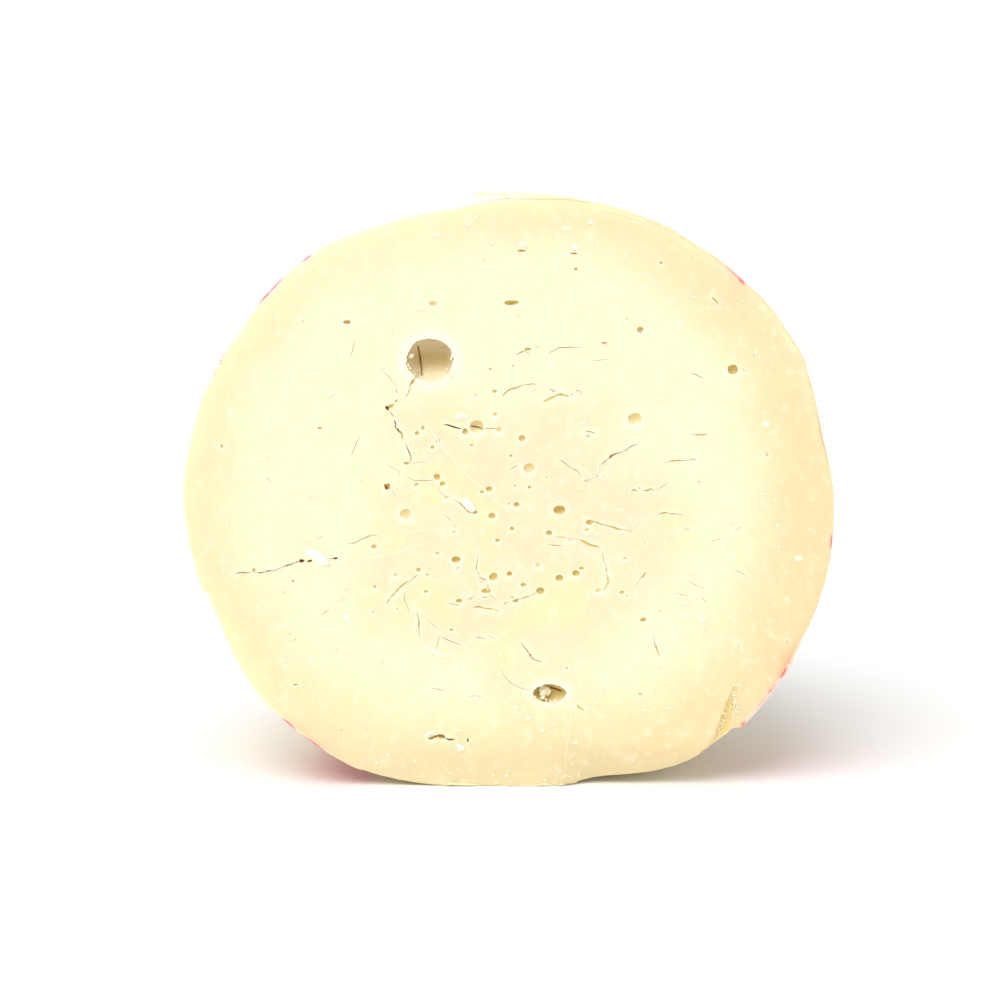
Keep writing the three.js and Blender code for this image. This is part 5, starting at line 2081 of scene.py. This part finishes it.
@dataclass
class EyeLump:
    """Torn curd that hangs inside the two large eyes."""

    face: CutFace
    # Across, above, how deep its middle lies, half width, half height, half depth.
    lumps: tuple[tuple[float, ...], ...] = (
        (11.9, 34.0, 2.2, 1.8, 1.8, 1.5), (13.3, 33.7, 2.8, 1.0, 1.5, 1.3),
        (11.5, 31.8, 1.0, 0.8, 0.6, 0.8), (12.7, 31.3, 0.7, 0.4, 0.35, 0.5),
        (-33.4, 150.0, 1.4, 0.9, 0.9, 0.7), (-25.9, 143.1, 1.4, 0.45, 0.45, 0.5),
        (-21.2, 145.2, 2.0, 0.5, 0.5, 0.5), (-32.0, 143.6, 1.0, 0.4, 0.4, 0.5),
    )
    uneven_noise: Layers = ((0.3, 0.7, 60), (0.18, 0.3, 70), (0.1, 0.13, 80))
    mesh: tuple[int, int] = (16, 32)

    def build(self) -> Piece:
        """Uneven balls that run into the eye's wall.

        Returns:
            The piece, ready for the frame.
        """
        forms = []
        for i, (x, z, depth, *sizes) in enumerate(self.lumps):
            points, triangles = ball(*self.mesh)
            uneven = layered(points + i, self.uneven_noise, 1.0, i)
            width, height, reach = sizes
            points = points * uneven[:, None] * np.array([width, reach, height])
            points = points + self.face.surface(np.array(x), np.array(z), -depth)
            forms.append((points, outward(points, triangles)))
        finish = ScrapFinish("torn_curd", (0.87, 0.79, 0.57), (0.80, 0.70, 0.47), 0.0)
        return settle_in(new_piece("eye_curd", *joined(forms)), finish.material())


@dataclass
class Seams:
    """Fine pale ridges across the cut, and the lines that the knife left."""

    face: CutFace
    step: float = 1.0
    seam_share: float = 0.8
    rise_share: float = 0.4
    knife_width: float = 0.4
    knife_rise: float = 0.03
    root: float = 0.2
    wander: float = 0.3

    def seam(self, width: float, rise: float, corners: Array, seed: int) -> Form:
        """A low flat ridge with its sides under the cut, that swells and fades.

        Args:
            width: Width of its foot at its widest.
            rise: Its height there.
            corners: Places (x, z) that it runs through.
            seed: Which noise makes it wander.

        Returns:
            Points and triangles.
        """
        straight, share = resampled(corners, self.step)
        left = leftward(straight)
        places = straight + (self.wander * flat_noise(*straight.T, 3.0, seed))[:, None] * left
        swell = np.sin(np.pi * share) ** 0.5 * (0.7 + 0.6 * np.abs(flat_noise(*straight.T, 3.5, seed + 1)))
        across = np.array([-0.5, -0.4, 0.0, 0.4, 0.5])
        top = np.array([0.0, 0.5, 1.0, 0.5, 0.0]) * rise
        low = np.array([-self.root, 0.0, 0.0, 0.0, -self.root])
        level = top * (0.3 + 0.7 * swell[:, None]) + low
        profile = np.stack([across * width * swell[:, None], level], axis=-1)
        return swept(self.face.surface(*places.T), in_plane(*left.T), OUT_OF_CUT, profile)

    def build(self) -> Piece:
        """All seams as one piece, each facet flat so that only its top catches the light.

        Returns:
            The piece, ready for the frame.
        """
        lines = [
            (self.seam_share * width, self.rise_share * rise, np.array(path, float))
            for width, rise, *path in SEAMS
        ]
        lines += [
            (self.knife_width * share, self.knife_rise, np.array([[top_x, top_z], [foot_x, foot_z]]))
            for top_x, top_z, foot_x, foot_z, share in KNIFE_LINES
            if share > 0.0
        ]
        forms = [self.seam(*line, 700 + 5 * i) for i, line in enumerate(lines)]
        piece = new_piece("curd_seams", *joined(forms))
        piece.data.polygons.foreach_set("use_smooth", np.zeros(len(piece.data.polygons), bool))
        finish = ScrapFinish("seam_curd", (0.89, 0.815, 0.59), (0.87, 0.785, 0.54), 0.0)
        return settle_in(piece, finish.material())


@dataclass
class Crumbs:
    """Pale specks of curd on the cut, and crumbs gathered at its torn places."""

    face: CutFace
    specks: int = 260
    tries: int = 1300
    mesh: tuple[int, int] = (3, 6)
    seed: int = 12
    spread: float = 104.0
    eye_margin: float = 0.4
    lip_spacing: float = 1.4
    least_opening: float = 0.42

    def scattered(self, draw: np.random.Generator) -> Array:
        """Specks over the cut, denser to the lower right and along the foot.

        Args:
            draw: Where the random numbers come from.

        Returns:
            Across, above, half size and flatness of each.
        """
        turn = draw.uniform(0.0, 2.0 * np.pi, self.tries)
        reach = self.spread * np.sqrt(draw.uniform(0.0, 1.0, self.tries))
        x = self.face.form.centre_x + reach * np.cos(turn)
        z = self.face.form.centre_z + reach * np.sin(turn)
        lower_right = 0.42 * smooth(x, -20.0, 90.0) * smooth(z, 130.0, 40.0)
        density = 0.10 + lower_right + 0.34 * smooth(z, 45.0, 10.0) + 0.16 * smooth(reach, 70.0, 100.0)
        kept = (draw.uniform(0.0, 1.0, self.tries) < density) & (self.face.inside(x, z) > 3.0)
        kept &= ~self.in_eye(x, z)
        size = np.clip(np.exp(draw.normal(-0.95, 0.42, self.tries)), 0.16, 1.0)
        flat = draw.uniform(0.10, 0.28, self.tries)
        return np.stack([x, z, size, flat], axis=1)[kept][: self.specks]

    def in_eye(self, x: Array, z: Array) -> Array:
        """Which places fall on an eye.

        Args:
            x: Places across.
            z: Places above the floor.

        Returns:
            True or false for each place.
        """
        hit = np.zeros(len(x), bool)
        for hole in EYES + PITS:
            hit |= hole.away(x, z, self.eye_margin) < 1.0
        return hit

    def heaped(self, draw: np.random.Generator) -> Array:
        """Crumbs at the torn places, thickest in the middle of each heap.

        Args:
            draw: Where the random numbers come from.

        Returns:
            Across, above, half size and flatness of each.
        """
        rows = []
        for x, z, spread_x, spread_z, count, largest in CRUMB_HEAPS:
            across = draw.normal(x, spread_x, count)
            above = draw.normal(z, spread_z / 1.6, count)
            sizes = largest * draw.uniform(0.35, 1.0, count)
            rows.append(np.column_stack([across, above, sizes, draw.uniform(0.5, 0.95, count)]))
        return np.concatenate(rows)

    def lipped(self, draw: np.random.Generator) -> Array:
        """Crumbs along the lower lips of the wider cracks, eyes and pits.

        Args:
            draw: Where the random numbers come from.

        Returns:
            Across, above, half size and flatness of each.
        """
        rows = []
        for crack in CRACKS:
            if crack.opening < self.least_opening:
                continue
            places, _ = resampled(np.array(crack.path, float), self.lip_spacing)
            places = places + draw.normal(0.0, 0.25, places.shape)
            places = places - np.array([0.0, 0.5 + 0.4 * crack.opening])
            sizes = draw.uniform(0.12, 0.34, len(places))
            rows.append(np.column_stack([places, sizes, draw.uniform(0.4, 0.8, len(places))]))
        for hole in EYES[:2] + PITS:
            count = max(2, int(3.0 * hole.mean))
            turn = draw.uniform(np.pi * 1.15, np.pi * 1.85, count)
            x = hole.x + (hole.half_width + 0.3) * np.cos(turn)
            z = hole.z + (hole.half_height + 0.3) * np.sin(turn)
            sizes = draw.uniform(0.14, 0.36, count)
            rows.append(np.column_stack([x, z, sizes, draw.uniform(0.4, 0.8, count)]))
        return np.concatenate(rows)

    def build(self) -> Piece:
        """All crumbs as one piece: each is the small ball, made uneven, turned and sat on the cut.

        Returns:
            The piece, ready for the frame.
        """
        draw = np.random.default_rng(self.seed)
        rows = np.concatenate([self.scattered(draw), self.heaped(draw), self.lipped(draw)])
        rows = rows[self.face.inside(rows[:, 0], rows[:, 1]) > 0.5]
        shape, triangles = ball(*self.mesh)
        count = len(rows)
        uneven = draw.uniform(0.72, 1.3, (count, len(shape), 1))
        stretch = draw.uniform(0.7, 1.35, (count, 1))
        turn = draw.uniform(0.0, np.pi, (count, 1))
        local = shape[None] * uneven
        along, over = local[..., 0] * stretch, local[..., 2] / stretch
        x = rows[:, :1] + rows[:, 2:3] * (along * np.cos(turn) - over * np.sin(turn))
        z = rows[:, 1:2] + rows[:, 2:3] * (along * np.sin(turn) + over * np.cos(turn))
        thick = rows[:, 2:3] * rows[:, 3:4]
        middle = self.face.surface(rows[:, 0], rows[:, 1])[:, 1:2]
        y = middle + thick * (local[..., 1] - 0.3)
        points = np.stack([x, y, np.maximum(z, 0.05)], axis=-1).reshape(-1, 3)
        turned = outward(shape, triangles)
        faces = (turned[None] + (np.arange(count) * len(shape))[:, None, None]).reshape(-1, 3)
        finish = ScrapFinish("crumb_curd", (0.92, 0.87, 0.67), (0.89, 0.81, 0.56), 0.0)
        return settle_in(new_piece("curd_crumbs", points, faces), finish.material())


@dataclass
class PressedEdge:
    """Rolls of paste squeezed out where the cut meets the floor."""

    face: CutFace
    # Left end, right end and radius of each.
    rolls: tuple[Triple, ...] = ((-24.5, -9.5, 0.75), (-3.0, 21.5, 0.55), (14.0, 24.0, 0.35))
    corners: int = 10
    step: float = 0.5
    swell_noise: Layers = ((0.45, 2.6, 0), (0.2, 0.9, 0))

    def roll(self, left: float, right: float, radius: float, seed: int) -> Form:
        """A flattened cord along the foot of the cut: an ellipse whose half sizes wander.

        Args:
            left: Where it starts, across.
            right: Where it ends.
            radius: At its thickest.
            seed: Which noise makes it uneven.

        Returns:
            Points and triangles.
        """
        x = np.linspace(left, right, int((right - left) / self.step))
        share = np.linspace(0.0, 1.0, len(x))
        places = in_plane(x, np.full_like(x, 3.0 * seed))
        rim = self.rim_height(x)
        size = radius * np.sin(np.pi * share) ** 0.4 * layered(places, self.swell_noise, 0.8, seed)
        turn = np.linspace(0.0, 2.0 * np.pi, self.corners, endpoint=False)
        wide, high = 1.3 * size[:, None] * np.cos(turn), 0.75 * size[:, None] * np.sin(turn)
        profile = np.stack([wide, high], axis=-1)
        centre = self.face.surface(x, rim + 0.8, 0.1)
        centre[:, 2] = rim + 0.75 * size + 0.3 * np.abs(noise(places, 4.0, seed + 3))
        points, triangles = swept(centre, OUT_OF_CUT, UPWARD, profile)
        points[:, 2] = np.maximum(points[:, 2], 0.02)
        return points, triangles

    def rim_height(self, x: Array) -> Array:
        """Height of the rim's foot above the floor."""
        degrees = np.degrees(np.arctan2(-self.face.form.centre_z, x - self.face.form.centre_x))
        return self.face.form.skin(degrees, np.zeros_like(degrees))[:, 2]

    def build(self) -> Piece:
        """All rolls as one piece.

        Returns:
            The piece, ready for the frame.
        """
        forms = [self.roll(*sizes, 800 + 9 * i) for i, sizes in enumerate(self.rolls)]
        finish = ScrapFinish("pressed_curd", (0.82, 0.73, 0.47), (0.76, 0.62, 0.35), 0.6)
        return settle_in(new_piece("pressed_edge", *joined(forms)), finish.material())


@dataclass
class RedFlecks:
    """Flecks of red print on the cut."""

    face: CutFace
    thickness: float = 0.10
    flatness: float = 0.7
    mesh: tuple[int, int] = (3, 8)
    seed: int = 31

    def place(self, x: Array, z: Array) -> Array:
        """A point of the cut, or of the quarter round that the worn edge makes beside the rim.

        Args:
            x: Places across.
            z: Places above the floor.

        Returns:
            Points, or the point, of the surface.
        """
        degrees, _ = self.face.form.polar(x, z)
        edge = self.face.form.edge(degrees)
        past = np.clip(edge - self.face.inside(x, z), 0.0, 0.9 * edge)
        return self.face.surface(x, z, np.sqrt(edge**2 - past**2) - edge)

    def build(self) -> Piece:
        """Flat uneven buttons, each a squashed ball.

        Returns:
            The piece, ready for the frame.
        """
        forms = []
        for i, (x, z, size) in enumerate(RED_SPECKS):
            points, triangles = ball(*self.mesh)
            points = points * (1.0 + 0.3 * noise(points + i, 0.8, self.seed + i))[:, None]
            sizes = np.array([size, self.thickness, size * self.flatness])
            points = points * sizes + self.place(np.array(x), np.array(z))
            forms.append((points, outward(points, triangles)))
        return settle_in(new_piece("red_flecks", *joined(forms)), PrintFinish().material())


# ---- Studio ------------------------------------------------------------------------------


@dataclass
class Studio:
    """Pale floor, soft light and the camera. Lengths here are metres, and the lens in millimetres."""

    floor_side: float = 60.0
    camera_place: tuple[float, float, float] = (-0.00324, -0.8303, 0.2077)
    camera_pitch: float = 8.0
    lens: float = 81.0
    sensor_width: float = 36.0
    key_power: float = 2.2
    key_angle: float = 42.0
    key_height: float = 54.0
    key_turn: float = 24.0
    # Strength of the sky up to one height and from another, as the upward part of a direction.
    sky_strengths: tuple[float, float] = (1.06, 0.6)
    sky_heights: tuple[float, float] = (0.18, 0.5)

    def floor(self) -> None:
        """A wide flat sheet at height 0."""
        half = self.floor_side / 2.0 / MM
        points = np.array([[-half, -half, 0.0], [half, -half, 0.0], [half, half, 0.0], [-half, half, 0.0]])
        floor = new_piece("pale_floor", points, [[0, 1, 2, 3]])
        floor.data.materials.append(FloorFinish().material())

    def key(self) -> None:
        """One large soft light from above, in front and to the left."""
        light = bpy.data.lights.new("key", "SUN")
        light.energy = self.key_power
        light.angle = math.radians(self.key_angle)
        lamp = bpy.data.objects.new("key", light)
        bpy.context.scene.collection.objects.link(lamp)
        lamp.rotation_euler = (math.radians(90.0 - self.key_height), 0.0, -math.radians(self.key_turn))

    def sky(self) -> None:
        """White surroundings: brighter near the horizon than overhead."""
        world = bpy.data.worlds.new("studio")
        world.use_nodes = True
        tree = world.node_tree
        tree.nodes.clear()
        output = tree.nodes.new("ShaderNodeOutputWorld")
        background = tree.nodes.new("ShaderNodeBackground")
        background.inputs["Color"].default_value = (1.0, 1.0, 1.0, 1.0)
        place = tree.nodes.new("ShaderNodeTexCoord")
        split = tree.nodes.new("ShaderNodeSeparateXYZ")
        level = tree.nodes.new("ShaderNodeMapRange")
        level.interpolation_type = "SMOOTHSTEP"
        names = ("From Min", "From Max", "To Min", "To Max")
        for name, value in zip(names, self.sky_heights + self.sky_strengths):
            level.inputs[name].default_value = value
        tree.links.new(place.outputs["Generated"], split.inputs["Vector"])
        tree.links.new(split.outputs["Z"], level.inputs["Value"])
        tree.links.new(level.outputs["Result"], background.inputs["Strength"])
        tree.links.new(background.outputs["Background"], output.inputs["Surface"])
        bpy.context.scene.world = world

    def camera(self) -> None:
        """A long lens a little above the cheese, looking slightly down at the cut."""
        lens = bpy.data.cameras.new("camera")
        lens.lens = self.lens
        lens.sensor_width = self.sensor_width
        camera = bpy.data.objects.new("camera", lens)
        bpy.context.scene.collection.objects.link(camera)
        camera.location = self.camera_place
        camera.rotation_euler = (math.radians(90.0 - self.camera_pitch), 0.0, 0.0)
        bpy.context.scene.camera = camera

    def build(self) -> None:
        """Sets everything up, with colours shown as they are."""
        self.floor()
        self.key()
        self.sky()
        self.camera()
        bpy.context.scene.view_settings.view_transform = "Standard"


def main() -> None:
    """Builds the cheese piece by piece, then the studio."""
    logging.basicConfig(level=logging.INFO, format="%(message)s", stream=sys.stdout)
    form = CheeseForm()
    face = CutFace(form)
    white = ScrapFinish("flake_curd", (0.95, 0.92, 0.80), (0.93, 0.89, 0.70), 0.0)
    cream = ScrapFinish("lump_curd", (0.92, 0.87, 0.68), (0.89, 0.81, 0.58), 0.0)
    assemblies = (
        CheeseBody(form, face), RindSliver(face), EyeLump(face),
        Flakes(face, "torn_flakes", FLAKES, white, tear=0.3), Flakes(face, "curd_lumps", LUMPS, cream),
        Seams(face), Crumbs(face), PressedEdge(face), RedFlecks(face),
    )
    for assembly in assemblies:
        piece = assembly.build()
        triangles = sum(len(polygon.vertices) - 2 for polygon in piece.data.polygons)
        log.info("%s: %d triangles", piece.name, triangles)
    Studio().build()


if __name__ == "__main__":
    main()
